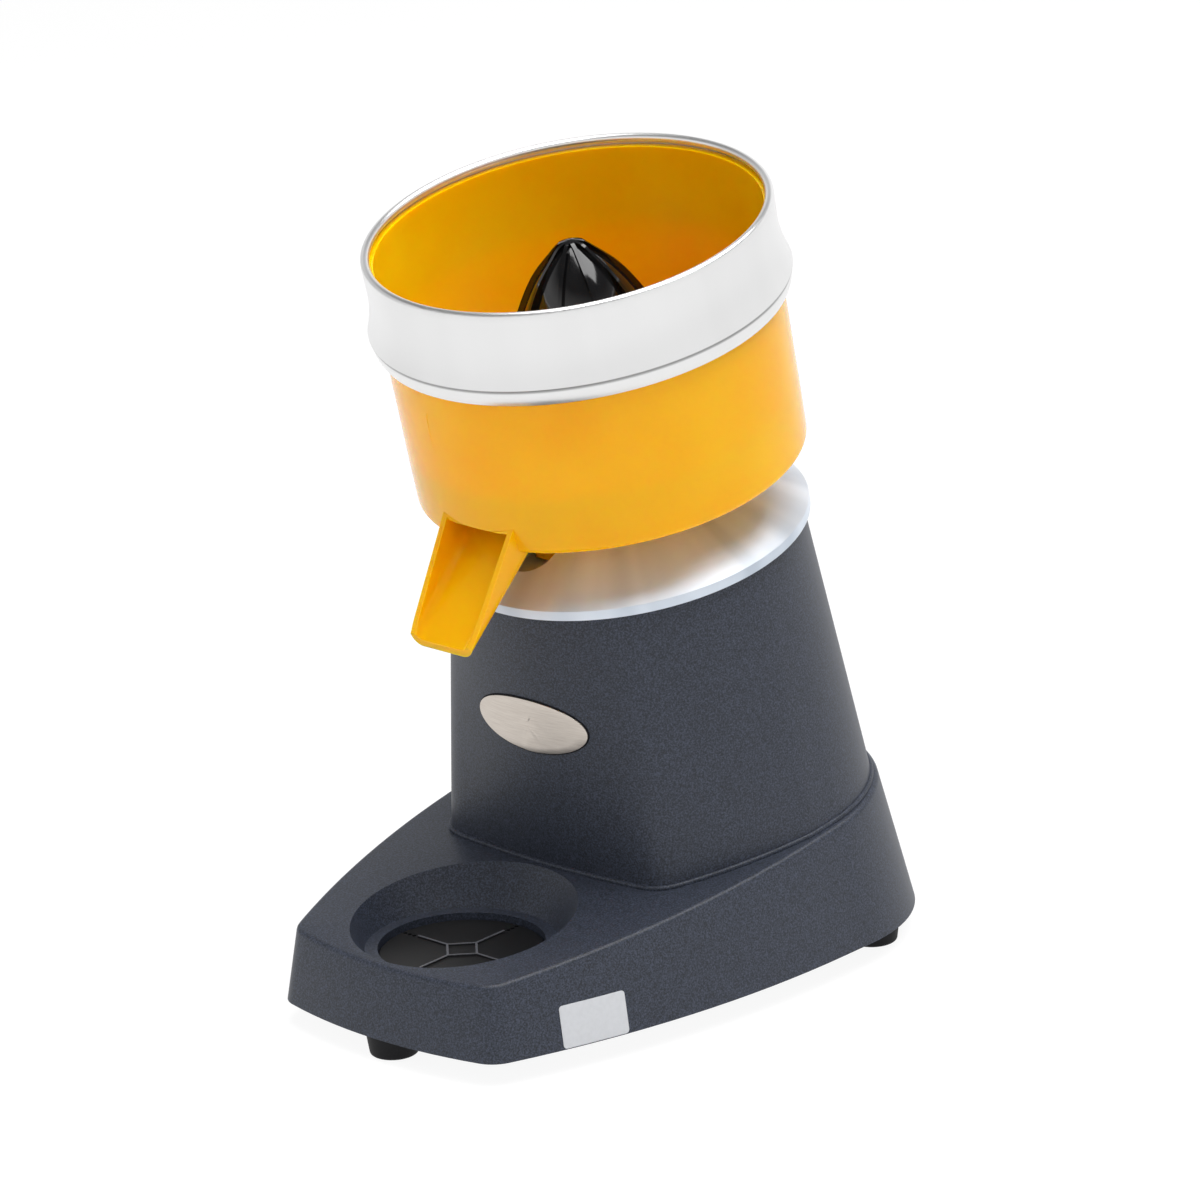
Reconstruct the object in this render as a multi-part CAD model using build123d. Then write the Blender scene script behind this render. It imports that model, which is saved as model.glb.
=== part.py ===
"""Electric citrus juicer: a lifting bowl with its spout over a motor that leans forward.

Millimetres, +Z up, -Y to the front, the origin under the middle of the machine on the table.
Everything that turns or lifts shares one leaning axis. Its own frame, SPINDLE, starts at the
centre of the disc's underside: z runs up the axis, -y to the front and x to the right. Heights
along the axis are named ..._t.
"""

import os
from math import atan, cos, degrees, dist, pi, radians, sin, tan

from build123d import *

# ---------------------------------------------------------------- driving dimensions
# Leaning axis
spindle_lean = 10.5
disc_height = 188.8
disc_back = 20.7

# Base casting
wall = 4.0
base_lift = 10.0
base_front = 149.0
base_corner_x = 62.3
base_corner_back = 8.4
base_corner_radius = 14.0
base_half_width = 100.2
base_widest_y = 38.0
base_rear = 133.0
base_rear_radius = 76.0
base_draft = 9.5
deck_front_height = 41.0
deck_slope = 0.12
deck_edge_radius = 2.5
deck_opening_radius = 50.0

# Glass recess and drip grid
recess_y = -90.8
recess_shift = -2.6
recess_radius = 49.2
ledge_height = 35.0
ledge_radius = 41.5
grid_radius = 35.7
grid_thickness = 2.5
grid_drop = 3.0
grid_seat = 2.8
well_depth = 11.0
grid_hub = 9.5
grid_rib = 1.0
grid_rib_height = 0.8
grid_spoke_end = 26.0
grid_hole_radius = 1.0
grid_hole_pitch = 2.6
grid_holes_per_row = 3

# Motor housing
housing_front = 39.6
housing_front_bow = 4.0
housing_corner_in = 24.1
housing_corner_radius = 16.0
housing_side_in = 10.7
housing_side_y = -6.5
housing_widest_y = 36.0
housing_gap_to_rim = 4.5
housing_top_radius = 77.0
housing_deck = 5.0
housing_opening = 66.0
lug_radius = 7.0
lug_height = 18.0
lug_inset = 8.7
lug_front_y = 0.0
lug_rear_turn = 37.0
disc_screw_gap = 0.3
housing_bead = 1.2
housing_bead_height = 1.8
housing_bead_round = 1.0

# Top disc (upper motor shield)
disc_radius = 80.5
disc_edge = 4.8
crest_radius = 53.0
crest_t = 21.0
crest_round = 1.2
collar_radius = 43.6
collar_t = 26.0
dish_radius = 40.6
dish_t = 14.0
boss_radius = 14.5
boss_t = 58.0
hub_radius = 23.5
spigot_depth = 4.0
spigot_wall = 4.0
shield_skin = 5.0
notch_half_width = 13.0
notch_floor_t = 8.0

# Spindle, bearings and seal
shaft_radius = 7.5
rotor_seat_radius = 8.5
shaft_end_t = -120.0
shoulder_t = 65.9
drive_radius = 6.0
drive_top_t = 105.0
pin_radius = 2.0
pin_length = 19.0
pin_t = 84.0
bearing_outer_radius = 17.5
bearing_width = 11.0
upper_bearing_t = -14.0
lower_bearing_t = -100.0
race_wall = 2.6
running_fit = 0.05
seal_radius = 11.0
seal_height = 6.0

# Motor
stack_top_t = -30.0
stack_height = 45.0
stack_across = 108.0
stack_corner_radius = 64.0
stack_bore = 31.0
slot_count = 24
slot_inner = 33.5
slot_outer = 45.0
slot_width = 5.0
air_gap = 0.5
end_turn_height = 13.0
end_ring_height = 8.0
tie_circle = 57.0
tie_radius = 2.5
pillar_radius = 6.0
spider_t = -96.0
spider_thickness = 5.0
fan_radius = 44.0
fan_t = -111.0
fan_plate = 1.6
fan_blade_height = 6.5
fan_blades = 9

# Bowl
rim_t = 148.0
bowl_top_drop = 5.0
bowl_top_radius = 86.2
bowl_low_radius = 84.9
bowl_foot_taper = 0.4
bowl_floor_t = 33.4
bowl_wall = 2.5
bowl_round = 3.0
bowl_ledge = 2.2
strainer_t = 56.0
bowl_chimney_gap = 1.7
chimney_wall = 2.8
chimney_above = 6.0
shoulder_width = 3.2
foot_ring_wall = 4.6
seat_gap = 0.2
key_depth = 11.0
key_half_width = 6.5

# Spout
spout_root_width = 43.0
spout_tip_width = 37.0
spout_reach = 31.8
spout_tip_t = 0.0
spout_fall = 0.686
spout_back = 24.0
spout_edge_root = (-3.7, 47.0)
spout_edge_tip = (29.8, 7.0)
spout_corner = 7.0
spout_opening_t = 43.0

# Ring round the bowl
ring_sheet = 1.4
ring_height = 42.0
ring_gap = 0.1
ring_band = 88.5
ring_waist = 88.1
ring_waist_drop = 15.0
ring_crease = 91.4
ring_crease_drop = 34.0
ring_crease_depth = 0.6
ring_lower = 88.8
ring_lip = 1.9
land_width = 2.5
lower_land_drop = 11.5

# Strainer
strainer_sheet = 1.0
strainer_gap = 0.5
strainer_rim = 3.0
slot_rings = ((30.0, 13.0, 20), (50.0, 19.0, 32))
strainer_slot = 2.0

# Squeezing cone
cone_radius = 35.0
cone_top_t = 137.7
cone_skirt_t = 75.7
cone_base_t = 67.7
cone_wall = 2.6
cone_ribs = 9
cone_rib_width = 1.7
cone_rib_height = 2.6
cone_hub_radius = 10.0
cone_webs = 4
cone_web = 2.0
cone_fit = 0.15

# Feet, screws and bottom plate
foot_top_radius = 11.8
foot_base_radius = 10.4
foot_round = 1.5
rear_foot_inset = 19.2
rear_foot_back = 41.0
foot_recess = 5.0
foot_recess_depth = 5.0
foot_boss_radius = 12.4
plate_recess = 1.5
plate_sheet = 1.5
plate_post_radius = 5.0
plate_gap = 0.6
plate_slots = 8
plate_slot_pitch = 9.0
plate_slot_width = 3.0
plate_slot_length = 34.0
screw_fit = 0.05

# Switch, cable entry and motor parts in the base
switch_x = -11.5
switch_height = 46.0
switch_width = 21.6
switch_length = 27.6
switch_depth = 22.0
bezel_overlap = 1.4
bezel_height = 2.0
rocker_width = 18.6
rocker_half = 11.6
rocker_tilt = 8.0
rocker_pin = 1.2
gland_x = 13.0
gland_height = 26.0
gland_thread = 7.9
gland_hex = 10.2
gland_bore = 3.6
gland_dome = 12.8
capacitor_radius = 15.0
capacitor_length = 56.0
capacitor_inset = 44.2
capacitor_y = 1.0
clip_sheet = 1.2
clip_width = 14.0
terminal_inset = 44.2
terminal_y = -5.0
terminal_size = (20.0, 42.0, 15.0)
terminal_poles = 4

SECTION_POINTS = 72

# ---------------------------------------------------------------- derived places
SPINDLE = Plane(
    origin=(0, disc_back, disc_height),
    x_dir=(1, 0, 0),
    z_dir=(0, -sin(radians(spindle_lean)), cos(radians(spindle_lean))),
)
deck_angle = degrees(atan(deck_slope))


def deck_z(y):
    """Height of the deck's plane above the table at depth y."""
    return deck_front_height + deck_slope * (y + base_front)


DECK = Plane(
    origin=(0, 0, deck_z(0)),
    x_dir=(1, 0, 0),
    z_dir=(0, -sin(radians(deck_angle)), cos(radians(deck_angle))),
)


def rear_plane(x, z):
    """Plane on the outside of the base's rear wall, x to the left seen from behind."""
    y = base_rear - (z - base_lift) * tan(radians(base_draft))
    return Plane(
        origin=(x, y, z),
        x_dir=(-1, 0, 0),
        z_dir=(0, cos(radians(base_draft)), sin(radians(base_draft))),
    )


chimney_inner = boss_radius + bowl_chimney_gap
chimney_outer = chimney_inner + chimney_wall
shoulder_radius = chimney_outer + shoulder_width
floor_top_t = bowl_floor_t + bowl_wall + 0.3
bowl_top_t = rim_t - bowl_top_drop
ring_inner = ring_band - ring_sheet
cone_bore = drive_radius + cone_fit
bowl_foot_radius = bowl_low_radius - bowl_foot_taper
plate_height = base_lift + plate_recess
rear_foot_x = base_half_width - rear_foot_inset
rear_foot_y = base_widest_y + rear_foot_back
foot_places = (
    (0, foot_top_radius - base_front),
    (-rear_foot_x, rear_foot_y),
    (rear_foot_x, rear_foot_y),
)
plate_screws = [
    (side * x, y)
    for x, y in (
        (base_corner_x - 18.0, 24.5 - base_front),
        (base_half_width - 12.2, 13.0),
        (0.6 * base_rear_radius, base_rear - 21.0),
    )
    for side in (-1, 1)
]
disc_screw_circle = (housing_opening + housing_top_radius - wall) / 2
disc_screw_head = disc_screw_circle - housing_opening - disc_screw_gap

# The housing's foot follows the base's rim: its rear corners turn about the same points.
rim_inset = (deck_z(base_widest_y) - base_lift) * tan(radians(base_draft))
rear_turn_x = base_half_width - base_rear_radius - rim_inset
rear_turn_y = base_rear - base_rear_radius - rim_inset
housing_rear_radius = base_rear_radius - housing_gap_to_rim
housing_half_width = rear_turn_x + housing_rear_radius
housing_side = (housing_half_width - housing_side_in, housing_side_y)
housing_corner = (housing_half_width - housing_corner_in, housing_front_bow - housing_front)
lug_share = (lug_front_y - housing_side_y) / (housing_widest_y - housing_side_y)
lug_front_x = housing_side[0] + lug_share * housing_side_in - lug_inset
lug_rear_reach = housing_rear_radius - lug_inset
lug_rear_x = rear_turn_x + lug_rear_reach * cos(radians(lug_rear_turn))
lug_rear_y = rear_turn_y + lug_rear_reach * sin(radians(lug_rear_turn))
housing_lugs = [
    (side * x, y)
    for x, y in ((lug_front_x, lug_front_y), (lug_rear_x, lug_rear_y))
    for side in (-1, 1)
]
pillar_angles = (45, 135, 225, 315)
grid_top = ledge_height - grid_drop
grid_seat_height = grid_top - grid_thickness
well_floor = grid_seat_height - well_depth
well_radius = grid_radius + 0.3 - grid_seat


# ---------------------------------------------------------------- small helpers
def turned(*corners):
    """Solid of revolution about z from (radius, height) corners."""
    outline = Polyline(*corners, close=True)
    return revolve(Plane.XZ * make_face(outline), Axis.Z)


def tube(outer, inner, low, high):
    """Straight tube on the z axis."""
    return turned((inner, low), (outer, low), (outer, high), (inner, high))


def rod(radius, low, high):
    """Straight cylinder on the z axis."""
    return Pos(0, 0, low) * Cylinder(radius, high - low, align=FROM_BELOW)


FROM_BELOW = (Align.CENTER, Align.CENTER, Align.MIN)


def block(low, high):
    """Box between two corners."""
    size = [h - l for l, h in zip(low, high)]
    return Pos(*low) * Box(*size, align=(Align.MIN, Align.MIN, Align.MIN))


def around(shape, count, start=0.0):
    """Copies of a shape turned evenly about z."""
    return [Rot(0, 0, start + 360 * i / count) * shape for i in range(count)]


def screw(radius, length, head_radius, head_height):
    """Pan-head screw: head below z = 0, shank up, hexagon socket in the head."""
    head = rod(head_radius, -head_height, 0)
    head = fillet(head.edges().sort_by(Axis.Z)[0], head_height * 0.4)
    shank = rod(radius, 0, length)
    shank = chamfer(shank.edges().sort_by(Axis.Z)[-1], radius * 0.3)
    socket_depth = head_height * 0.55
    socket = extrude(RegularPolygon(radius * 0.75, 6), socket_depth)
    return head + shank - Pos(0, 0, -head_height) * socket


# ---------------------------------------------------------------- base
def crossing(a, a_radius, b, b_radius):
    """The nearer to the front of the two points where circles about a and b cross."""
    apart = dist(a, b)
    along = (a_radius**2 - b_radius**2 + apart**2) / (2 * apart)
    across = (a_radius**2 - along**2) ** 0.5
    ux, uy = (b[0] - a[0]) / apart, (b[1] - a[1]) / apart
    ends = [
        (a[0] + along * ux - side * across * uy, a[1] + along * uy + side * across * ux)
        for side in (1, -1)
    ]
    return min(ends, key=lambda point: point[1])


def base_outline(inset=0.0, rise=0.0):
    """Plan of the base at a rise over its lower edge: bowed front, long side arcs, flat rear.

    The draft moves every side in, but the corners keep their radii all the way up.
    """
    drawn_in = inset + rise * tan(radians(base_draft))
    rear_radius = base_rear_radius - inset
    inward = base_half_width - base_corner_x
    length = base_widest_y + base_front - base_corner_back
    side_radius = (inward**2 + length**2) / (2 * inward)
    bow_radius = (base_corner_x**2 + base_corner_back**2) / (2 * base_corner_back)
    corner = crossing(
        (0, bow_radius - base_front),
        bow_radius - drawn_in,
        (base_half_width - side_radius, base_widest_y),
        side_radius - drawn_in,
    )
    widest_x, rear_y = base_half_width - drawn_in, base_rear - drawn_in
    turn_x, turn_y = widest_x - rear_radius, rear_y - rear_radius
    edges = [
        ThreePointArc((-corner[0], corner[1]), (0, drawn_in - base_front), corner),
        Line((turn_x, rear_y), (-turn_x, rear_y)),
    ]
    for side, start in ((1, 0), (-1, 90)):
        widest = (side * widest_x, base_widest_y)
        edges += [
            TangentArc(widest, (side * corner[0], corner[1]), tangent=(0, -1)),
            Line(widest, (side * widest_x, turn_y)),
            CenterArc((side * turn_x, turn_y), rear_radius, start, 90),
        ]
    face = make_face(edges)
    ends = face.vertices().sort_by(Axis.Y)[0:2]
    return make_face(fillet(ends, base_corner_radius).edges())


def base_prism(inset, drop):
    """Drafted block of the base's plan, cut by the deck's plane lowered by drop."""
    tall = deck_z(base_rear) - base_lift
    foot = Pos(0, 0, base_lift) * base_outline(inset)
    head = Pos(0, 0, base_lift + tall) * base_outline(inset, tall)
    lowered = Plane(DECK.origin - DECK.z_dir * drop, x_dir=DECK.x_dir, z_dir=DECK.z_dir)
    return split(loft([foot, head], ruled=True), bisect_by=lowered, keep=Keep.BOTTOM)


def recess_cone(grow):
    """The glass recess above its ledge: from a level circle up through the deck."""
    over = 3.0
    slant = (recess_radius - ledge_radius) / (deck_z(recess_y) - ledge_height)
    lower = Pos(0, recess_y + recess_shift, ledge_height) * Circle(ledge_radius + grow)
    top = Plane(
        origin=(0, recess_y, deck_z(recess_y)) + DECK.z_dir * over,
        x_dir=DECK.x_dir,
        z_dir=DECK.z_dir,
    )
    return loft([lower, top * Circle(recess_radius + slant * over + grow)], ruled=True)


def base_casting():
    outside = base_prism(0, 0)
    deck_edges = [
        e for e in outside.edges() if abs(DECK.to_local_coords(e.center()).Z) < 0.05
    ]
    outside = fillet(deck_edges, deck_edge_radius)
    body = outside - base_prism(wall, wall)

    centre_y = recess_y + recess_shift
    at_recess = Pos(0, centre_y, 0)
    pan = at_recess * rod(grid_radius + 0.3 + wall, well_floor - wall, ledge_height)
    pan += at_recess * rod(ledge_radius + wall, ledge_height - wall, ledge_height)
    pan += recess_cone(wall)
    body += pan & outside
    for x, y in foot_places:
        body += Pos(x, y, 0) * rod(foot_boss_radius, base_lift, base_lift + 3 * wall) & outside
    for x, y in plate_screws:
        post = Pos(x, y, 0) * rod(plate_post_radius, plate_height + plate_sheet, deck_z(y))
        body += post & outside

    body -= recess_cone(0)
    body -= at_recess * rod(grid_radius + 0.3, grid_seat_height, ledge_height)
    body -= at_recess * rod(well_radius, well_floor, ledge_height)
    motor_y = disc_back + (disc_height - deck_z(disc_back)) * tan(radians(spindle_lean))
    over_plate = plate_height + plate_sheet
    body -= Pos(0, motor_y, 0) * rod(deck_opening_radius, over_plate, deck_z(base_rear))

    for x, y in foot_places:
        body -= Pos(x, y, 0) * rod(2 + screw_fit, 0, base_lift + 9)
    for x, y in plate_screws:
        body -= Pos(x, y, 0) * rod(1.75 + screw_fit, 0, plate_height + 14)
    for x, y in housing_lugs:
        hole = DECK * Pos(x, y / cos(radians(deck_angle)), 0) * rod(2.7, -3 * wall, wall)
        body -= hole
    switch_hole = block(
        (-switch_width / 2 - 0.2, -switch_length / 2 - 0.2, -3 * wall),
        (switch_width / 2 + 0.2, switch_length / 2 + 0.2, wall),
    )
    body -= rear_plane(switch_x, switch_height) * switch_hole
    body -= rear_plane(gland_x, gland_height) * rod(gland_thread + 0.1, -3 * wall, wall)
    return body


def drip_grid():
    """Round insert with a raised square hub, four spokes and rows of drain holes."""
    plate = rod(grid_radius, 0, grid_thickness)
    plate = chamfer(plate.edges().group_by(Axis.Z)[-1], 0.5)
    side = grid_hub * 2**0.5
    hub = Rot(0, 0, 45) * (Rectangle(side, side) - Rectangle(side - 2 * grid_rib, side - 2 * grid_rib))
    ribs = Pos(0, 0, grid_thickness) * extrude(hub, grid_rib_height)
    spoke = block(
        (grid_hub - grid_rib, -grid_rib / 2, grid_thickness),
        (grid_spoke_end, grid_rib / 2, grid_thickness + grid_rib_height),
    )
    plate += ribs + around(spoke, 4)
    for row in range(4):
        for step in range(grid_holes_per_row):
            reach = grid_spoke_end + grid_hole_pitch * (step + 1)
            plate -= Rot(0, 0, 90 * row) * Pos(reach, 0, 0) * rod(
                grid_hole_radius, -1, grid_thickness + 1
            )
    underside = tube(well_radius - 0.4, well_radius - 2.4, -3, 0)
    return Pos(0, recess_y + recess_shift, grid_seat_height) * (plate + underside)


def bottom_plate():
    outline = base_outline(wall + plate_gap, plate_recess + plate_sheet)
    plate = Pos(0, 0, plate_height) * extrude(outline, plate_sheet)
    for x, y in foot_places:
        plate -= Pos(x, y, 0) * rod(foot_boss_radius + plate_gap, 0, 2 * base_lift)
    for x, y in plate_screws:
        plate -= Pos(x, y, 0) * rod(2.1, 0, 2 * base_lift)
    slot = SlotOverall(plate_slot_length, plate_slot_width, rotation=90)
    for side in (-1, 1):
        for step in range(plate_slots):
            x = (step - (plate_slots - 1) / 2) * plate_slot_pitch
            y = disc_back + 18 + side * (plate_slot_length / 2 + 6)
            plate -= Pos(x, y, 0) * extrude(slot, 2 * base_lift)
    return plate


def rubber_foot(x, y):
    foot = turned(
        (foot_recess, 0),
        (foot_base_radius, 0),
        (foot_top_radius, base_lift),
        (2 + 4 * screw_fit, base_lift),
        (2 + 4 * screw_fit, foot_recess_depth),
        (foot_recess, foot_recess_depth),
    )
    ground = foot.edges().filter_by(GeomType.CIRCLE).group_by(Axis.Z)[0].sort_by(SortBy.RADIUS)[-1]
    return Pos(x, y, 0) * fillet(ground, foot_round)


# ---------------------------------------------------------------- motor housing
def housing_footprint(inset):
    """Foot of the housing on the deck's plane: bowed front, rear following the base's rim."""
    widest = (housing_half_width, housing_widest_y)
    side = ThreePointArc(housing_corner, housing_side, widest)
    straight = Line(widest, (housing_half_width, rear_turn_y))
    rear = CenterArc((rear_turn_x, rear_turn_y), housing_rear_radius, 0, 90)
    half = [side, straight, rear]
    other = [edge.mirror(Plane.YZ) for edge in half]
    corner_x, corner_y = housing_corner
    front = ThreePointArc((-corner_x, corner_y), (0, -housing_front), housing_corner)
    rear_y = rear_turn_y + housing_rear_radius
    back = Line((rear_turn_x, rear_y), (-rear_turn_x, rear_y))
    face = make_face(half + other + [front, back])
    corners = face.vertices().sort_by(Axis.Y)[0:2]
    face = make_face(fillet(corners, housing_corner_radius).edges())
    return offset(face, amount=-inset) if inset else face


def footprint_points(inset):
    """Evenly spaced points round the foot, from the middle of the front, seen from above."""
    outline = housing_footprint(inset).face().outer_wire()
    start = outline.param_at_point(Vector(0, inset - housing_front, 0))
    points = [
        outline.position_at((start + i / SECTION_POINTS) % 1.0) for i in range(SECTION_POINTS)
    ]
    if points[1].X < 0:
        points = points[:1] + points[:0:-1]
    return [(p.X, p.Y) for p in points]


def housing_sections(inset, top_t):
    """Sections of the housing's skin from the deck's plane up the leaning axis."""
    low = footprint_points(inset)
    run = disc_height - deck_z(disc_back)
    lean = radians(spindle_lean)
    reach = run / (cos(lean) + deck_slope * sin(lean))
    foot_centre = (disc_back + reach * sin(lean), disc_height - reach * cos(lean))
    sections = []
    for share in (0.0, 0.5, 1.0):
        t = -reach + (reach + top_t) * share
        angle = radians(deck_angle) * (1 - share) + lean * share
        origin = (0, disc_back - t * sin(lean), disc_height + t * cos(lean))
        plane = Plane(origin=origin, x_dir=(1, 0, 0), z_dir=(0, -sin(angle), cos(angle)))
        points = []
        for i, (x, y) in enumerate(low):
            v = (y - foot_centre[0]) / cos(radians(deck_angle))
            turn = 2 * pi * i / SECTION_POINTS - pi / 2
            top_x = (housing_top_radius - inset) * cos(turn)
            top_y = (housing_top_radius - inset) * sin(turn)
            points.append((x * (1 - share) + top_x * share, v * (1 - share) + top_y * share))
        sections.append(plane * make_face(Spline(*points, periodic=True)))
    return sections


def motor_housing():
    skin = loft(housing_sections(0, 0))
    round_foot = [
        (x, y / cos(radians(deck_angle))) for x, y in footprint_points(-housing_bead)
    ]
    bead = extrude(make_face(Spline(*round_foot, periodic=True)), housing_bead_height)
    bead = DECK * fillet(bead.edges().group_by(Axis.Z)[-1], housing_bead_round)
    cavity = loft(housing_sections(wall, -housing_deck))
    body = skin + bead - cavity
    for x, y in housing_lugs:
        lug = DECK * Pos(x, y / cos(radians(deck_angle)), 0) * rod(lug_radius, 0, lug_height)
        body += lug & skin
    body -= SPINDLE * rod(housing_opening, -2 * housing_deck, housing_deck)
    for angle in (0, 90, 180, 270):
        hole = Pos(disc_screw_circle, 0, 0) * rod(2.2, -2 * housing_deck, housing_deck)
        body -= SPINDLE * Rot(0, 0, angle) * hole
    for x, y in housing_lugs:
        place = DECK * Pos(x, y / cos(radians(deck_angle)), 0)
        body -= place * rod(2.5 + screw_fit, -1, lug_height - 4)
    return body


# ---------------------------------------------------------------- motor
def top_disc():
    """Turned top of the motor: conical flank, crest, collar for the bowl, sealed boss."""
    pocket_t = upper_bearing_t + bearing_width
    spigot = housing_opening - 0.3
    slope = (crest_t - disc_edge) / (disc_radius - crest_radius)
    body = turned(
        (disc_radius, 0),
        (disc_radius, disc_edge - 0.6),
        (disc_radius - 0.6, disc_edge),
        (crest_radius, crest_t),
        (collar_radius, crest_t),
        (collar_radius, collar_t),
        (dish_radius, collar_t),
        (dish_radius, dish_t + 2),
        (dish_radius - 2, dish_t),
        (boss_radius + 2, dish_t),
        (boss_radius, dish_t + 2),
        (boss_radius, boss_t),
        (seal_radius, boss_t),
        (seal_radius, boss_t - seal_height),
        (shaft_radius + 0.7, boss_t - seal_height),
        (shaft_radius + 0.7, pocket_t + 3),
        (bearing_outer_radius - 4, pocket_t + 3),
        (bearing_outer_radius - 4, pocket_t),
        (bearing_outer_radius, pocket_t),
        (bearing_outer_radius, upper_bearing_t - 1),
        (hub_radius, upper_bearing_t - 1),
        (hub_radius, dish_t - shield_skin),
        (dish_radius, dish_t - shield_skin),
        (crest_radius - 5, crest_t - 1.6 * shield_skin),
        (spigot - spigot_wall, crest_t - 1.2 * shield_skin - slope * (spigot - spigot_wall - crest_radius)),
        (spigot - spigot_wall, -spigot_depth),
        (spigot, -spigot_depth),
        (spigot, 0),
    )
    crest = [
        e
        for e in body.edges().filter_by(GeomType.CIRCLE)
        if abs(e.radius - crest_radius) < 0.1 and abs(e.arc_center.Z - crest_t) < 0.1
    ]
    body = fillet(crest, crest_round)
    pad_low = dish_t - shield_skin
    pad = Pos(0, -crest_radius, 0) * rod(notch_half_width + wall, notch_floor_t - wall, crest_t - 2)
    pad += block(
        (-notch_half_width - wall, -crest_radius, notch_floor_t - wall),
        (notch_half_width + wall, -dish_radius + 2, crest_t - 2),
    )
    flank = turned(
        (0, notch_floor_t - wall),
        (disc_radius - 0.6, disc_edge),
        (crest_radius, crest_t),
        (0, crest_t),
    )
    body += pad & flank
    pillar = Pos(tie_circle, 0, 0) * rod(pillar_radius, stack_top_t, pad_low)
    body += around(pillar, 4, 45)
    notch = Pos(0, -crest_radius, 0) * rod(notch_half_width, notch_floor_t, collar_t + 1)
    notch += block(
        (-notch_half_width, -crest_radius, notch_floor_t),
        (notch_half_width, -dish_radius + 4, collar_t + 1),
    )
    inner_floor = rod(dish_radius - 2, dish_t - shield_skin - 1, dish_t)
    body -= notch - inner_floor
    tie_hole = Pos(tie_circle, 0, 0) * rod(tie_radius + screw_fit, stack_top_t - 1, -10)
    body -= around(tie_hole, 4, 45)
    body -= around(Pos(disc_screw_circle, 0, 0) * rod(2 + screw_fit, -1, 6), 4)
    return SPINDLE * body


def disc_screws():
    one = Pos(disc_screw_circle, 0, -housing_deck) * screw(2, housing_deck + 5, disc_screw_head, 2.4)
    return SPINDLE * Compound(children=around(one, 4))


def shaft_seal():
    lip = shaft_radius + running_fit
    body = turned(
        (seal_radius, boss_t - seal_height),
        (seal_radius, boss_t),
        (seal_radius - 1.4, boss_t),
        (seal_radius - 1.4, boss_t - 3.5),
        (lip + 0.6, boss_t - 0.6),
        (lip, boss_t - 1.2),
        (lip, boss_t - 2.6),
        (lip + 0.9, boss_t - seal_height + 1.5),
        (lip + 0.9, boss_t - seal_height),
    )
    return SPINDLE * body


def bearing_outer(low):
    """Outer race with its two seals, which stop just short of the inner race."""
    inner_race = shaft_radius + race_wall
    face = bearing_outer_radius - race_wall
    high = low + bearing_width
    shield = inner_race + running_fit
    body = turned(
        (bearing_outer_radius, low),
        (bearing_outer_radius, high),
        (face, high),
        (face, high - 0.4),
        (shield, high - 0.4),
        (shield, high - 1.4),
        (face, high - 1.4),
        (face, low + 1.4),
        (shield, low + 1.4),
        (shield, low + 0.4),
        (face, low + 0.4),
        (face, low),
    )
    return SPINDLE * body


def bearing_inner(low):
    return SPINDLE * tube(shaft_radius + race_wall, shaft_radius, low, low + bearing_width)


def stator_stack():
    low = stack_top_t - stack_height
    plan = Rectangle(stack_across, stack_across) & Circle(stack_corner_radius)
    plan -= Circle(stack_bore)
    reach = (slot_inner + slot_outer) / 2
    slot = Pos(reach, 0) * SlotOverall(slot_outer - slot_inner, slot_width)
    mouth = Pos((stack_bore + slot_inner) / 2, 0) * Rectangle(slot_inner - stack_bore + 3, 2)
    for i in range(slot_count):
        plan -= Rot(0, 0, 360 * i / slot_count) * (slot + mouth)
    for angle in pillar_angles:
        plan -= Rot(0, 0, angle) * Pos(tie_circle, 0) * Circle(tie_radius + screw_fit)
    return SPINDLE * Pos(0, 0, low) * extrude(plan, stack_height)


def stator_windings():
    """Copper in the slots with the two crowns of end turns that join it."""
    low = stack_top_t - stack_height
    reach = (slot_inner + slot_outer) / 2
    bar = Pos(reach, 0, low) * extrude(
        SlotOverall(slot_outer - slot_inner - 0.6, slot_width - 0.6), stack_height
    )
    top = stack_top_t
    upper = turned(
        (slot_inner + 0.5, top),
        (slot_outer, top),
        (slot_outer + 0.6, top + end_turn_height * 0.5),
        (slot_outer - 3, top + end_turn_height),
        (slot_inner + 3, top + end_turn_height),
        (slot_inner + 0.5, top + end_turn_height * 0.6),
    )
    lower = upper.mirror(Plane.XY.offset(low + stack_height / 2))
    return SPINDLE * (upper + lower + around(bar, slot_count))


def lower_shield():
    """Four-armed spider under the stator with the lower bearing in its hub."""
    pocket_top = lower_bearing_t + bearing_width
    body = turned(
        (bearing_outer_radius, lower_bearing_t),
        (hub_radius, lower_bearing_t - 2),
        (hub_radius, spider_t + spider_thickness + 1),
        (hub_radius - 1.5, pocket_top + 2),
        (rotor_seat_radius + 1, pocket_top + 2),
        (rotor_seat_radius + 1, pocket_top + 1),
        (bearing_outer_radius - 3, pocket_top + 1),
        (bearing_outer_radius - 3, pocket_top),
        (bearing_outer_radius, pocket_top),
    )
    body -= rod(bearing_outer_radius, lower_bearing_t - 3, lower_bearing_t)
    arm = block(
        (hub_radius - 1, -6, spider_t),
        (tie_circle, 6, spider_t + spider_thickness),
    )
    pad = Pos(tie_circle, 0, 0) * rod(pillar_radius + 1, spider_t, stack_top_t - stack_height)
    body += around(arm + pad, 4, 45)
    hole = Pos(tie_circle, 0, 0) * rod(tie_radius + screw_fit, spider_t - 1, 0)
    body -= around(hole, 4, 45)
    return SPINDLE * body


def tie_bolts():
    length = stack_top_t - spider_t + 14
    one = Pos(tie_circle, 0, spider_t) * screw(tie_radius, length, 4.2, 3.2)
    return SPINDLE * Compound(children=around(one, 4, 45))


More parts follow.
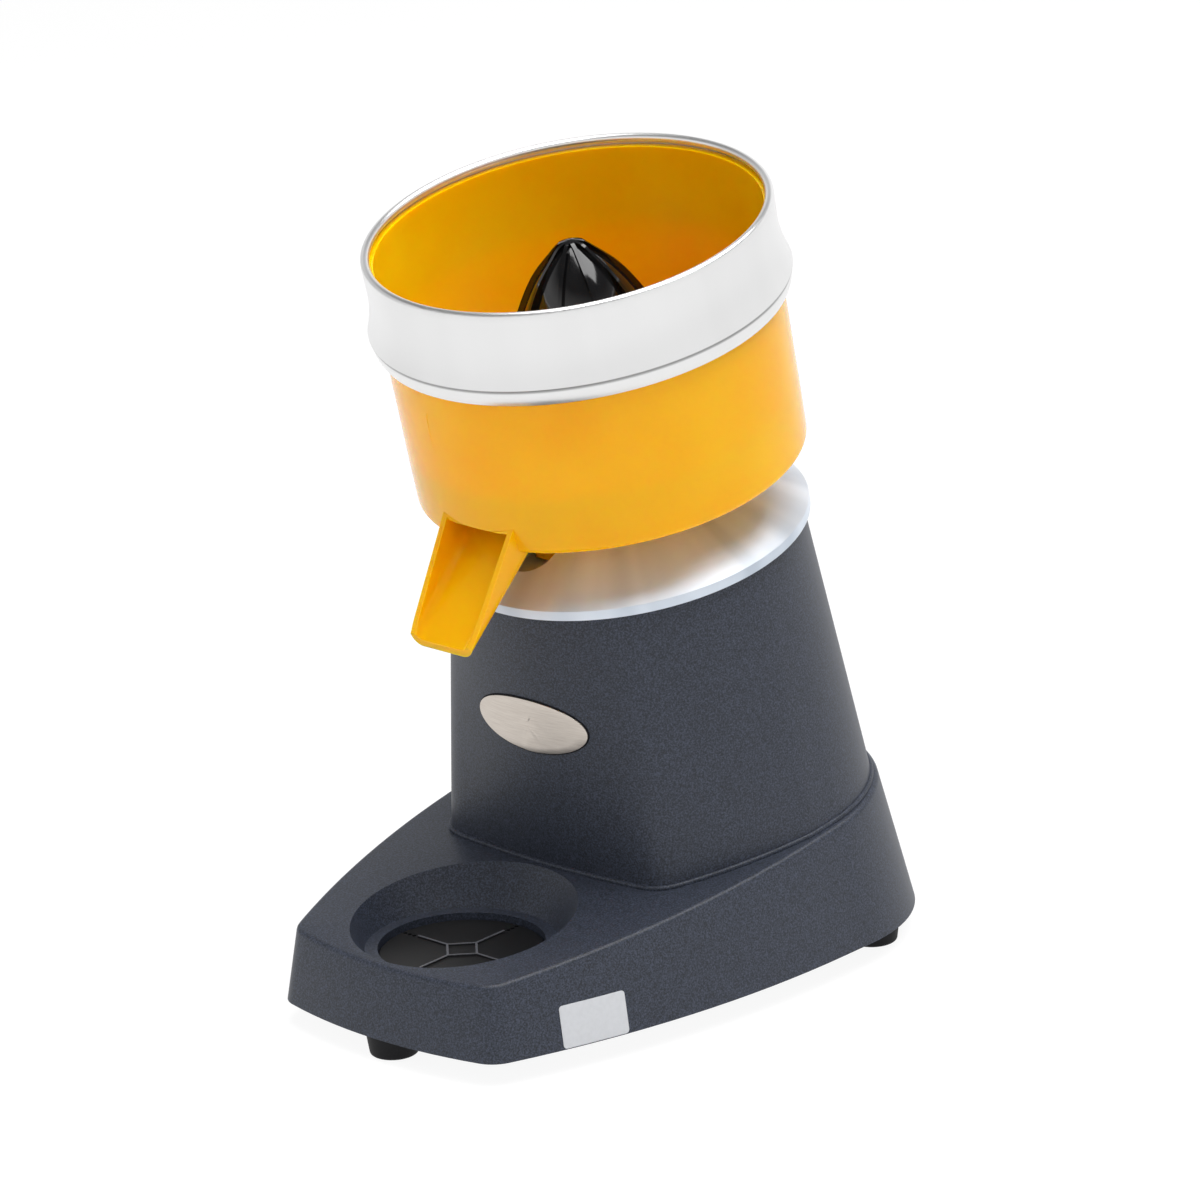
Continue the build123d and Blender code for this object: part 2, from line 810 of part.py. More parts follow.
def motor_shaft():
    seat_low = lower_bearing_t + bearing_width
    seat_high = upper_bearing_t
    body = turned(
        (0, shaft_end_t),
        (shaft_radius - 0.8, shaft_end_t),
        (shaft_radius, shaft_end_t + 0.8),
        (shaft_radius, seat_low),
        (rotor_seat_radius, seat_low),
        (rotor_seat_radius, seat_high),
        (shaft_radius, seat_high),
        (shaft_radius, shoulder_t),
        (drive_radius, shoulder_t),
        (drive_radius, drive_top_t - 1.5),
        (drive_radius - 1.5, drive_top_t),
        (0, drive_top_t),
    )
    hole = Pos(0, 0, pin_t) * Rot(0, 90, 0) * Cylinder(pin_radius, 4 * drive_radius)
    return SPINDLE * (body - hole)


def drive_pin():
    pin = Cylinder(pin_radius, pin_length)
    pin = chamfer(pin.edges().filter_by(GeomType.CIRCLE), 0.5)
    return SPINDLE * Pos(0, 0, pin_t) * Rot(0, 90, 0) * pin


def rotor_core():
    radius = stack_bore - air_gap
    return SPINDLE * tube(radius, rotor_seat_radius, stack_top_t - stack_height, stack_top_t)


def rotor_rings():
    """Cast end rings of the rotor cage, with the small blades that stir the air."""
    low = stack_top_t - stack_height
    outer = stack_bore - air_gap - 1.5
    inner = outer - 10
    rings = tube(outer, inner, stack_top_t, stack_top_t + end_ring_height)
    blade = block(
        (inner + 2, -0.8, stack_top_t + end_ring_height),
        (outer - 1, 0.8, stack_top_t + end_ring_height + 4),
    )
    rings += around(blade, 8)
    other = rings.mirror(Plane.XY.offset(low + stack_height / 2))
    return SPINDLE * Compound(children=[rings, other])


def cooling_fan():
    hub = tube(12, shaft_radius, fan_t - fan_blade_height, fan_t + 6)
    plate = tube(fan_radius, shaft_radius, fan_t, fan_t + fan_plate)
    blade = block((11, -0.9, fan_t - fan_blade_height), (fan_radius - 1, 0.9, fan_t))
    return SPINDLE * (hub + plate + around(blade, fan_blades))


# ---------------------------------------------------------------- bowl
def spout_prism(inset, back):
    """Trough from under the bowl's floor to the tip: rounded U, straight in its fall."""
    tall = 70.0
    sections = []
    tip = bowl_low_radius + spout_reach
    rise = inset / cos(atan(spout_fall))
    for forward in (back, tip + 3 * inset):
        share = (tip - forward) / (spout_reach + 5.0)
        width = spout_tip_width + (spout_root_width - spout_tip_width) * min(share, 1) - 2 * inset
        low = spout_tip_t + spout_fall * (tip - forward) + rise
        plane = Plane(origin=(0, -forward, low), x_dir=(1, 0, 0), z_dir=(0, -1, 0))
        shape = Pos(0, tall / 2) * RectangleRounded(width, tall, spout_corner - inset * 0.9)
        sections.append(plane * shape)
    return loft(sections, ruled=True)


def spout():
    """The chute's outside under its sloping edges, and the channel that juice runs down."""
    back = bowl_low_radius - spout_back
    tip = bowl_low_radius + spout_reach
    root_f, root_t = bowl_low_radius + spout_edge_root[0], spout_edge_root[1]
    tip_f, tip_t = bowl_low_radius + spout_edge_tip[0], spout_edge_tip[1]
    slope = (root_t - tip_t) / (tip_f - root_f)
    over = 12.0
    above = Polyline(
        (0, -root_f + over, root_t + slope * over),
        (0, -tip_f, tip_t),
        (0, -tip - 0.5, tip_t - 3),
        (0, -tip - over, tip_t - 3),
        (0, -tip - over, rim_t),
        (0, -root_f + over, rim_t),
        close=True,
    )
    lid = extrude(make_face(above), spout_root_width, both=True)
    over_floor = rod(bowl_low_radius - 1, bowl_floor_t + 1, rim_t)
    over_opening = rod(bowl_low_radius + 0.4, spout_opening_t, rim_t)
    chute = spout_prism(0, back) - lid - over_floor
    return chute, spout_prism(bowl_wall, back - 1) - over_opening


def bowl():
    lip = bowl_top_t - land_width
    low_land = rim_t - lower_land_drop
    land = ring_inner - ring_gap
    foot_inner = collar_radius + 0.4
    ledge = bowl_low_radius - bowl_wall - bowl_ledge
    body = turned(
        (bowl_top_radius - bowl_wall, bowl_top_t),
        (bowl_low_radius - bowl_wall, strainer_t),
        (ledge, strainer_t),
        (ledge - 0.6, floor_top_t + 2),
        (ledge - 2.6, floor_top_t),
        (chimney_outer + 1.5, floor_top_t),
        (chimney_outer, floor_top_t + 1.5),
        (chimney_outer, strainer_t - 6),
        (shoulder_radius, strainer_t - 2.5),
        (shoulder_radius, strainer_t),
        (chimney_outer, strainer_t),
        (chimney_outer, strainer_t + chimney_above),
        (chimney_inner, strainer_t + chimney_above),
        (chimney_inner, bowl_floor_t),
        (foot_inner, bowl_floor_t),
        (foot_inner, crest_t + seat_gap),
        (foot_inner + foot_ring_wall, crest_t + seat_gap),
        (foot_inner + foot_ring_wall, bowl_floor_t),
        (bowl_foot_radius, bowl_floor_t),
        (bowl_low_radius, strainer_t - 6),
        (bowl_top_radius, low_land - 4),
        (bowl_top_radius, low_land - land_width),
        (land, low_land - land_width),
        (land, low_land),
        (bowl_top_radius, low_land),
        (bowl_top_radius, lip),
        (land, lip),
        (land, bowl_top_t),
    )
    low_edge = [
        e
        for e in body.edges().filter_by(GeomType.CIRCLE)
        if abs(e.radius - bowl_foot_radius) < 0.1
    ]
    body = fillet(low_edge, bowl_round)
    key = block(
        (-key_half_width, -foot_inner - foot_ring_wall, crest_t - key_depth),
        (key_half_width, 0, bowl_floor_t),
    )
    key = key & tube(foot_inner + foot_ring_wall, foot_inner, 0, bowl_floor_t)
    body += key
    chute, channel = spout()
    return SPINDLE * (body + chute - channel)


def bowl_ring():
    """Band spun from sheet: rolled lip, a flare to one sharp crease, a turned-in lower edge."""
    top = -ring_lip * 2
    crease = (ring_crease, -ring_crease_drop)
    under = (ring_crease - ring_crease_depth, -ring_crease_drop - ring_crease_depth)
    flare = TangentArc((ring_waist, -ring_waist_drop), crease, tangent=(0, -1))
    middle_t = (under[1] - ring_height) / 2
    middle_r = (under[0] + ring_lower) / 2 + ring_crease_depth
    outer = [
        Line((ring_band, top), (ring_waist, -ring_waist_drop)),
        flare,
        Line(crease, under),
        ThreePointArc(under, (middle_r, middle_t), (ring_lower, -ring_height)),
        Line((ring_lower, -ring_height), (ring_lower - ring_sheet, -ring_height)),
        ThreePointArc(
            (ring_lower - ring_sheet, -ring_height),
            (middle_r - ring_sheet, middle_t),
            (under[0] - ring_sheet, under[1]),
        ),
        TangentArc(
            (ring_inner, -ring_waist_drop),
            (under[0] - ring_sheet, under[1]),
            tangent=(0, -1),
        ),
        Line((ring_inner, -ring_waist_drop), (ring_inner, -ring_lip)),
        Line((ring_inner, -ring_lip), (ring_band, -ring_lip)),
        Line((ring_band, -ring_lip), (ring_band, top)),
    ]
    band = make_face(outer) + Pos(ring_band - ring_lip, -ring_lip) * Circle(ring_lip)
    return SPINDLE * Pos(0, 0, rim_t) * revolve(Plane.XZ * band, Axis.Z)


# ---------------------------------------------------------------- strainer and cone
def strainer():
    """Pressed sheet disc with two rings of radial slots and a turned-up rim."""
    seat = strainer_t + 0.1
    inner = chimney_outer + strainer_gap
    outer = bowl_low_radius - bowl_wall - strainer_gap
    body = turned(
        (inner, seat),
        (outer, seat),
        (outer, seat + strainer_rim),
        (outer - strainer_sheet, seat + strainer_rim),
        (outer - strainer_sheet, seat + strainer_sheet),
        (inner, seat + strainer_sheet),
    )
    for start, length, count in slot_rings:
        slot = block(
            (start, -strainer_slot / 2, seat - 1),
            (start + length, strainer_slot / 2, seat + 2 * strainer_sheet),
        )
        body -= around(slot, count)
    return SPINDLE * body


def ogive(grow):
    """Half profile of the cone's outer skin from its skirt to the tip, made larger by grow."""
    height = cone_top_t - cone_skirt_t
    shape = ((1.0, 0.0), (0.965, 0.2), (0.707, 0.556), (0.386, 0.839), (0.186, 0.952))
    points = [(cone_radius * r + grow, cone_skirt_t + height * h) for r, h in shape]
    tip = (0, cone_top_t + grow * 0.6)
    return Spline(*points, tip, tangents=[(0, 1), (-1, 0.12)])


def squeezing_cone():
    """Pointed reamer: ribbed ogive over a short skirt, hollow, with a slotted drive socket."""
    skin = ogive(0)
    base = cone_radius + 0.6
    profile = make_face(
        [
            skin,
            Line((0, cone_top_t), (0, cone_base_t)),
            Line((0, cone_base_t), (base, cone_base_t)),
            Line((base, cone_base_t), (cone_radius, cone_skirt_t)),
        ]
    )
    body = revolve(Plane.XZ * profile, Axis.Z)
    raised = ogive(cone_rib_height)
    rib_low = cone_skirt_t
    rib_outline = make_face(
        [
            raised,
            Line((0, cone_top_t + cone_rib_height * 0.6), (0, rib_low)),
            Line((0, rib_low), (cone_radius + cone_rib_height, rib_low)),
        ]
    )
    rib = extrude(Plane.XZ * rib_outline, cone_rib_width / 2, both=True)
    rib &= rod(cone_radius + 0.6, cone_base_t, cone_top_t + 5)
    rib -= block((-90, -9, cone_base_t), (0, 9, cone_top_t + 9))
    body += around(rib, cone_ribs, 12)
    hollow = turned(
        (0, cone_base_t),
        (cone_radius - cone_wall, cone_base_t),
        (cone_radius - cone_wall, cone_skirt_t),
        (cone_radius - cone_wall - 1.6, cone_skirt_t + 12),
        (cone_radius * 0.70 - cone_wall, cone_skirt_t + 32),
        (cone_hub_radius, cone_skirt_t + 44),
        (0, cone_skirt_t + 44),
    )
    body -= hollow
    inside_top = cone_skirt_t + 46
    core = rod(cone_hub_radius, shoulder_t + 0.1, inside_top)
    web = block((-cone_radius, -cone_web / 2, cone_skirt_t), (cone_radius, cone_web / 2, inside_top))
    body += core
    body += around(web & hollow, cone_webs // 2, 45)
    body -= rod(cone_bore, shoulder_t - 1, drive_top_t + 2)
    slot = block(
        (-cone_hub_radius, -pin_radius - cone_fit, shoulder_t - 1),
        (cone_hub_radius, pin_radius + cone_fit, pin_t),
    )
    crown = Pos(0, 0, pin_t) * Rot(0, 90, 0) * Cylinder(pin_radius + cone_fit, 2 * cone_hub_radius)
    body -= slot + crown
    return SPINDLE * body


# ---------------------------------------------------------------- electrical parts
def switch_body():
    half_w, half_l = switch_width / 2, switch_length / 2
    body = block((-half_w, -half_l, -switch_depth), (half_w, half_l, 0))
    rim = block(
        (-half_w - bezel_overlap, -half_l - bezel_overlap, 0),
        (half_w + bezel_overlap, half_l + bezel_overlap, bezel_height),
    )
    rim = chamfer(rim.edges().group_by(Axis.Z)[-1], 0.8)
    pocket = block((-rocker_width / 2 - 0.3, -half_l + 0.9, -7), (rocker_width / 2 + 0.3, half_l - 0.9, 9))
    axle = Pos(0, 0, -1) * Rot(0, 90, 0) * Cylinder(rocker_pin + running_fit, switch_width - 1)
    body = body + rim - pocket - axle
    for step in (-8, 0, 8):
        body += block((-0.4, step - 3.2, -switch_depth - 7), (0.4, step + 3.2, -switch_depth))
    return rear_plane(switch_x, switch_height) * body


def switch_rocker():
    outline = Polyline(
        (0, -rocker_half, 4.4),
        (0, 0, 2.2),
        (0, rocker_half, 4.4),
        (0, rocker_half - 0.4, -1.6),
        (0, 4, -4.2),
        (0, -4, -4.2),
        (0, -rocker_half + 0.4, -1.6),
        close=True,
    )
    body = extrude(make_face(outline), rocker_width / 2, both=True)
    body = fillet(body.edges().filter_by(Axis.X).group_by(Axis.Z)[-1], 0.8)
    body += Pos(0, 0, -1) * Rot(0, 90, 0) * Cylinder(rocker_pin, switch_width - 1.4)
    rock = Pos(0, 0, -1) * Rot(-rocker_tilt, 0, 0) * Pos(0, 0, 1)
    return rear_plane(switch_x, switch_height) * rock * body


def cable_gland():
    """Screwed cable entry: threaded tube, hexagon flange and domed nut."""
    hexagon = extrude(RegularPolygon(gland_hex, 6), 5)
    dome = Pos(0, 0, 5) * Cone(8.6, 6.6, gland_dome, align=FROM_BELOW)
    tube_part = rod(gland_thread, -2.2 * wall, 0)
    body = hexagon + dome + tube_part - rod(gland_bore, -3 * wall, 20)
    return rear_plane(gland_x, gland_height) * body


def gland_nut():
    nut = extrude(RegularPolygon(gland_hex, 6), 3.5) - rod(gland_thread + screw_fit, -1, 5)
    return rear_plane(gland_x, gland_height) * Pos(0, 0, -wall - 3.5) * nut


def capacitor():
    """Round motor capacitor lying on the bottom plate, terminals to the rear."""
    can = Cylinder(capacitor_radius, capacitor_length)
    can = fillet(can.edges().filter_by(GeomType.CIRCLE), 1.5)
    for x in (-4, 4):
        can += Pos(x, 0, 0) * block((-0.4, -3, capacitor_length / 2), (0.4, 3, capacitor_length / 2 + 9))
    height = plate_height + plate_sheet + clip_sheet + capacitor_radius
    return Pos(capacitor_inset - base_half_width, capacitor_y, height) * Rot(-90, 0, 0) * can


def capacitor_clip():
    """Sprung band round the capacitor with a flat foot on the bottom plate."""
    gap = 0.1
    inner = capacitor_radius + gap
    outer = inner + clip_sheet - gap
    band = Circle(outer) - Circle(inner)
    band -= Pos(0, outer) * Rectangle(12, 12)
    foot = Pos(0, -outer + clip_sheet / 2) * Rectangle(1.6 * outer, clip_sheet)
    plan = band + foot - Circle(inner)
    body = extrude(plan, clip_width / 2, both=True)
    height = plate_height + plate_sheet + outer
    return Pos(capacitor_inset - base_half_width, capacitor_y, height) * Rot(90, 0, 0) * body


def terminal_block():
    width, length, height = terminal_size
    body = block((-width / 2, -length / 2, 0), (width / 2, length / 2, height))
    body = chamfer(body.edges().group_by(Axis.Z)[-1], 1)
    for pole in range(terminal_poles):
        y = (pole - (terminal_poles - 1) / 2) * length / terminal_poles
        body -= Pos(0, y, height / 2 + 1) * Rot(0, 90, 0) * Cylinder(2, 2 * width)
        for x in (-5, 5):
            body -= Pos(x, y, 0) * rod(1.8, height / 2, height + 1)
    terminal_x = base_half_width - terminal_inset
    return Pos(terminal_x, terminal_y, plate_height + plate_sheet) * body


# ---------------------------------------------------------------- screws in the base
def foot_screws():
    one = screw(2, base_lift + 8 - foot_recess_depth, 3.9, 2.6)
    return Compound(children=[Pos(x, y, foot_recess_depth) * one for x, y in foot_places])


def plate_screw_set():
    one = screw(1.75, 14, 3.4, 1.4)
    return Compound(children=[Pos(x, y, plate_height) * one for x, y in plate_screws])


def housing_screws():
    one = screw(2.5, wall + 12, 4.5, 3.4)
    places = [DECK * Pos(x, y / cos(radians(deck_angle)), -wall) for x, y in housing_lugs]
    return Compound(children=[place * one for place in places])


# ---------------------------------------------------------------- write every sub-part
def build():
    return {
        "base_casting": base_casting(),
        "motor_housing": motor_housing(),
        "top_disc": top_disc(),
        "drip_grid": drip_grid(),
        "bottom_plate": bottom_plate(),
        "front_foot": rubber_foot(*foot_places[0]),
        "rear_foot_left": rubber_foot(*foot_places[1]),
        "rear_foot_right": rubber_foot(*foot_places[2]),
        "foot_screws": foot_screws(),
        "plate_screws": plate_screw_set(),
        "housing_screws": housing_screws(),
        "disc_screws": disc_screws(),
        "shaft_seal": shaft_seal(),
        "upper_bearing_outer": bearing_outer(upper_bearing_t),
        "upper_bearing_inner": bearing_inner(upper_bearing_t),
        "lower_bearing_outer": bearing_outer(lower_bearing_t),
        "lower_bearing_inner": bearing_inner(lower_bearing_t),
        "stator_stack": stator_stack(),
        "stator_windings": stator_windings(),
        "lower_shield": lower_shield(),
        "tie_bolts": tie_bolts(),
        "motor_shaft": motor_shaft(),
        "drive_pin": drive_pin(),
        "rotor_core": rotor_core(),
        "rotor_rings": rotor_rings(),
        "cooling_fan": cooling_fan(),
        "bowl": bowl(),
        "bowl_ring": bowl_ring(),
        "strainer": strainer(),
        "squeezing_cone": squeezing_cone(),
        "switch_body": switch_body(),
        "switch_rocker": switch_rocker(),
        "cable_gland": cable_gland(),
        "gland_nut": gland_nut(),
        "capacitor": capacitor(),
        "capacitor_clip": capacitor_clip(),
        "terminal_block": terminal_block(),
    }


os.makedirs("parts", exist_ok=True)
for name, shape in build().items():
    export_step(shape, os.path.join("parts", name + ".step"))
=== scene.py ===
"""Dresses the electric citrus juicer: finishes for every part, and the pieces that only show."""

import math

import bpy
from bpy.props import FloatProperty, FloatVectorProperty, PointerProperty
from mathutils import Matrix, Vector


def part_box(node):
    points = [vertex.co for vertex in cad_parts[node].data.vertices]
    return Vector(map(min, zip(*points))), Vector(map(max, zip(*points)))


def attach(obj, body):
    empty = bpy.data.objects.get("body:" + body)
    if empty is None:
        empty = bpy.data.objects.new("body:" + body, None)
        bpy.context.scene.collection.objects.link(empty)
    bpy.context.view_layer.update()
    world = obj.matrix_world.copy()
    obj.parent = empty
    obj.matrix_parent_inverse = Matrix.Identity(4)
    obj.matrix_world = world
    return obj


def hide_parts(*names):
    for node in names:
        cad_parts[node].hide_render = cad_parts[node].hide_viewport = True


bl_info = {
    "name": "Electric Citrus Juicer",
    "version": (1, 0, 0),
    "blender": (4, 5, 0),
    "location": "View3D > Sidebar > Juicer",
    "description": "Dresses a packed citrus juicer with its finishes, badge, label and studio",
    "category": "Object",
}

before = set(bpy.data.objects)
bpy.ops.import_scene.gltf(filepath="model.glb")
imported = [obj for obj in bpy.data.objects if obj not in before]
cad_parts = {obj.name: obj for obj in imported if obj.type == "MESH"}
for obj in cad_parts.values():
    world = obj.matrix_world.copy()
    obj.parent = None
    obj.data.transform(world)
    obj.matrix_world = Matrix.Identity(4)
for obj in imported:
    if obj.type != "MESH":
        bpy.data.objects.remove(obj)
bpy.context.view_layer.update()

MM = 0.001
WELD = 0.005 * MM  # packed vertices closer than this are one
LEAN = math.radians(10.5)  # of the axis that the spindle turns about, toward the glass
AXIS_FOOT = Vector((0.0, 20.7, 188.8)) * MM
RING_CREASE_T = 113.2 * MM  # along the axis, from its foot

PLATE_BEDDING = 0.1 * MM  # how deep a plate's back lies in the skin that carries it
PLATE_EDGE = 0.35  # rounding of a plate's edges, as a share of its thickness
PLATE_RINGS = (0.80, 0.75, 0.67, 0.50)  # each ring of faces as a share of the one outside it
BADGE_START = (3 * MM, -1.0)  # x and y that the badge is pressed on from
LABEL_MIDDLE = Vector((74.9, -93.9, 19.2)) * MM
LABEL_OUTWARD = Vector((0.93, -0.37, 0.12))  # about square to the flank there
LABEL_REACH = 0.1  # how far out along that way the label is pressed on from

CAMERA_PLACE = (2.1380, -2.2206, 1.2329)
CAMERA_ANGLES = (43.93, 18.95, -3.0)  # azimuth, elevation and roll in degrees
CAMERA_LENS = 228.117
CAMERA_SHIFT = (0.00611, -0.02038)
LAMP_TARGET = Vector((0, 0, 0.18))


# ---------------------------------------------------------------- small helpers
def linear(hex_colour):
    """An sRGB hex colour as linear red, green, blue and alpha."""
    channels = [int(hex_colour[i : i + 2], 16) / 255 for i in (1, 3, 5)]
    straight = [c / 12.92 if c <= 0.04045 else ((c + 0.055) / 1.055) ** 2.4 for c in channels]
    return (*straight, 1.0)


def deselect():
    if bpy.context.object and bpy.context.object.mode != "OBJECT":
        bpy.ops.object.mode_set(mode="OBJECT")
    bpy.ops.object.select_all(action="DESELECT")


def make_active(piece):
    deselect()
    piece.select_set(True)
    bpy.context.view_layer.objects.active = piece


def add_node(material, kind, settings=None, links=None, stops=()):
    """Adds one node. Settings go to its sockets or properties, and stops fill a colour ramp."""
    tree = material.node_tree
    node = tree.nodes.new(kind)
    for key, value in (settings or {}).items():
        if isinstance(key, int) or key in node.inputs:
            node.inputs[key].default_value = value
        else:
            setattr(node, key, value)
    for key, source in (links or {}).items():
        tree.links.new(source, node.inputs[key])
    for i, (place, colour) in enumerate(stops):
        stop = node.color_ramp.elements[i] if i < 2 else node.color_ramp.elements.new(place)
        stop.position, stop.color = place, colour
    return node


def blank(name):
    """A material with only its Principled shader, that shader, and the object's coordinates."""
    material = bpy.data.materials.new(name)
    material.use_nodes = True
    where = add_node(material, "ShaderNodeTexCoord").outputs["Object"]
    return material, material.node_tree.nodes["Principled BSDF"], where


def feed(shader, socket, source):
    shader.id_data.links.new(source, shader.inputs[socket])


def coat(shader, colour, gloss, normal):
    """Feeds a finish's colour, roughness and relief to its shader."""
    feed(shader, "Base Color", colour)
    feed(shader, "Roughness", gloss)
    feed(shader, "Normal", normal)


def smooth_copy(node, angle=32.0, name=None):
    """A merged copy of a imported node, smooth where its faces meet gently, that stands for it."""
    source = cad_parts[node]
    piece = bpy.data.objects.new(name or node + "_surface", source.data.copy())
    bpy.context.scene.collection.objects.link(piece)
    make_active(piece)
    bpy.ops.object.mode_set(mode="EDIT")
    bpy.ops.mesh.select_all(action="SELECT")
    bpy.ops.mesh.remove_doubles(threshold=WELD)
    bpy.ops.mesh.dissolve_degenerate(threshold=WELD)
    bpy.ops.object.mode_set(mode="OBJECT")
    if piece.data.has_custom_normals:
        bpy.ops.mesh.customdata_custom_splitnormals_clear()
    bpy.ops.object.shade_smooth_by_angle(angle=math.radians(angle))
    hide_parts(node)
    return piece


def dress(piece, material, body=None):
    """Gives a piece its only material, and where asked its body."""
    piece.data.materials.clear()
    piece.data.materials.append(material)
    if body:
        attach(piece, body)
    return piece


def dress_node(node, material):
    dress(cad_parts[node], material)


# ---------------------------------------------------------------- finishes
def textured_powder_paint(settings):
    """Textured powder coat baked on an aluminium casting."""
    # The powder flows into a fine pebbled skin: a dark slate ground, a lighter fleck on each
    # grain, and a broken highlight with no sharp reflection. Real grains are about 0.3 mm, too
    # fine to show, so the setting draws them at 0.75 mm.
    material, shader, where = blank("textured_powder_paint")
    grain = add_node(
        material, "ShaderNodeTexNoise",
        {"Scale": 1 / settings.grain, "Detail": 2.0, "Roughness": 0.65}, {"Vector": where},
    ).outputs["Fac"]
    film = add_node(
        material, "ShaderNodeTexNoise", {"Scale": 1 / (28 * MM), "Detail": 1.0}, {"Vector": where},
    ).outputs["Fac"]
    ground, fleck = (*settings.ground, 1.0), (*settings.fleck, 1.0)
    flecked = add_node(
        material, "ShaderNodeValToRGB", None, {"Fac": grain}, ((0.40, ground), (0.68, fleck)),
    ).outputs["Color"]
    shade = add_node(
        material, "ShaderNodeMapRange", {"To Min": 0.94, "To Max": 1.05}, {"Value": film},
    ).outputs["Result"]
    colour = add_node(
        material, "ShaderNodeMix", {"data_type": "RGBA", "blend_type": "MULTIPLY", 0: 1.0},
        {6: flecked, 7: shade},
    ).outputs[2]
    gloss = add_node(
        material, "ShaderNodeMapRange", {"To Min": 0.38, "To Max": 0.52}, {"Value": grain},
    ).outputs["Result"]
    pebble = add_node(
        material, "ShaderNodeBump", {"Strength": 0.35, "Distance": 0.05 * MM}, {"Height": grain},
    ).outputs["Normal"]
    coat(shader, colour, gloss, pebble)
    shader.inputs["Specular IOR Level"].default_value = 0.36
    return material


def spun_aluminium(name, tones, sheen, groove, spread, metallic, shade_line_height=None):
    """Aluminium worked on the lathe, bare or satin-anodised, with a painted glint;
    shade_line_height is the height of a line of painted shade.
    """
    # The tool leaves grooves round the leaning axis, a few hundredths of a millimetre apart.
    # They are too fine to show, so the lines here are 0.4 mm, and the stretched highlight
    # that they give comes from the anisotropy across them. Brighter and duller rays that
    # fan out from the axis are a painted glint in the colour, and the roughness follows them.
    material, shader, where = blank(name)
    outward = add_node(
        material, "ShaderNodeVectorMath", {"operation": "SUBTRACT", 1: tuple(AXIS_FOOT)},
        {0: where},
    ).outputs["Vector"]
    upright = add_node(
        material, "ShaderNodeMapping", {"Rotation": (-LEAN, 0, 0)}, {"Vector": outward},
    ).outputs["Vector"]
    split = add_node(material, "ShaderNodeSeparateXYZ", None, {"Vector": upright})
    flat = add_node(
        material, "ShaderNodeCombineXYZ", None, {"X": split.outputs["X"], "Y": split.outputs["Y"]},
    ).outputs["Vector"]
    reach = add_node(
        material, "ShaderNodeVectorMath", {"operation": "LENGTH"}, {0: flat},
    ).outputs["Value"]
    round_the_axis = add_node(
        material, "ShaderNodeCombineXYZ", None, {"X": reach, "Z": split.outputs["Z"]},
    ).outputs["Vector"]
    grooves = add_node(
        material, "ShaderNodeTexNoise",
        {"Scale": 1 / (0.4 * MM), "Detail": 2.0, "Roughness": 0.7}, {"Vector": round_the_axis},
    ).outputs["Fac"]
    turn = add_node(
        material, "ShaderNodeVectorMath", {"operation": "NORMALIZE"}, {0: flat},
    ).outputs["Vector"]
    painted_glint_rays = add_node(
        material, "ShaderNodeTexNoise", {"Scale": 2.4, "Detail": 2.0, "Roughness": 0.5},
        {"Vector": turn},
    ).outputs["Fac"]
    # Painted glint: the colour goes from the dull tone to the bright one along rays round the axis.
    colour = add_node(
        material, "ShaderNodeValToRGB", None, {"Fac": painted_glint_rays},
        ((0.35, linear(tones[0])), (0.65, linear(tones[1]))),
    ).outputs["Color"]
    if shade_line_height is not None:
        # Painted shade: the colour darkens along a thin line at the crease's height, where shade
        # lies in the crease.
        off = add_node(
            material, "ShaderNodeMath", {"operation": "SUBTRACT", 1: shade_line_height}, {0: split.outputs["Z"]},
        ).outputs["Value"]
        away = add_node(
            material, "ShaderNodeMath", {"operation": "ABSOLUTE"}, {0: off},
        ).outputs["Value"]
        crease_shade = add_node(
            material, "ShaderNodeMapRange",
            {"From Min": 0.25 * MM, "From Max": 1.1 * MM, "To Min": 0.42, "To Max": 1.0},
            {"Value": away},
        ).outputs["Result"]
        colour = add_node(
            material, "ShaderNodeMix", {"data_type": "RGBA", "blend_type": "MULTIPLY", 0: 1.0},
            {6: colour, 7: crease_shade},
        ).outputs[2]
    gloss = add_node(
        material, "ShaderNodeMapRange", {"To Min": sheen[0], "To Max": sheen[1]},
        {"Value": painted_glint_rays},
    ).outputs["Result"]
    ridges = add_node(
        material, "ShaderNodeBump", {"Strength": 0.3, "Distance": groove * MM},
        {"Height": grooves},
    ).outputs["Normal"]
    coat(shader, colour, gloss, ridges)
    feed(shader, "Tangent", outward)
    shader.inputs["Metallic"].default_value = metallic
    shader.inputs["Anisotropic"].default_value = spread
    return material


def amber_polycarbonate(settings):
    """Injection-moulded polycarbonate, tinted amber, from a polished mould."""
    # Light goes a few millimetres into the wall and comes back warmer, so edges and corners
    # glow, while the skin keeps a clear gloss with the slightest moulding wave.
    material, shader, where = blank("amber_polycarbonate")
    tint = add_node(
        material, "ShaderNodeTexNoise", {"Scale": 1 / (45 * MM), "Detail": 1.0}, {"Vector": where},
    ).outputs["Fac"]
    colour = add_node(
        material, "ShaderNodeValToRGB", None, {"Fac": tint},
        ((0.30, (*settings.deep, 1.0)), (0.70, (*settings.bright, 1.0))),
    ).outputs["Color"]
    gloss = add_node(
        material, "ShaderNodeMapRange", {"To Min": 0.11, "To Max": 0.16}, {"Value": tint},
    ).outputs["Result"]
    wave = add_node(
        material, "ShaderNodeTexNoise", {"Scale": 1 / (12 * MM), "Detail": 0.0}, {"Vector": where},
    ).outputs["Fac"]
    skin = add_node(
        material, "ShaderNodeBump", {"Strength": 0.1, "Distance": 0.03 * MM}, {"Height": wave},
    ).outputs["Normal"]
    coat(shader, colour, gloss, skin)
    shader.inputs["IOR"].default_value = 1.58
    shader.inputs["Specular IOR Level"].default_value = 0.18
    shader.inputs["Subsurface Weight"].default_value = 0.75
    shader.inputs["Subsurface Radius"].default_value = (1.0, 0.45, 0.05)
    shader.inputs["Subsurface Scale"].default_value = 6.0 * MM
    return material


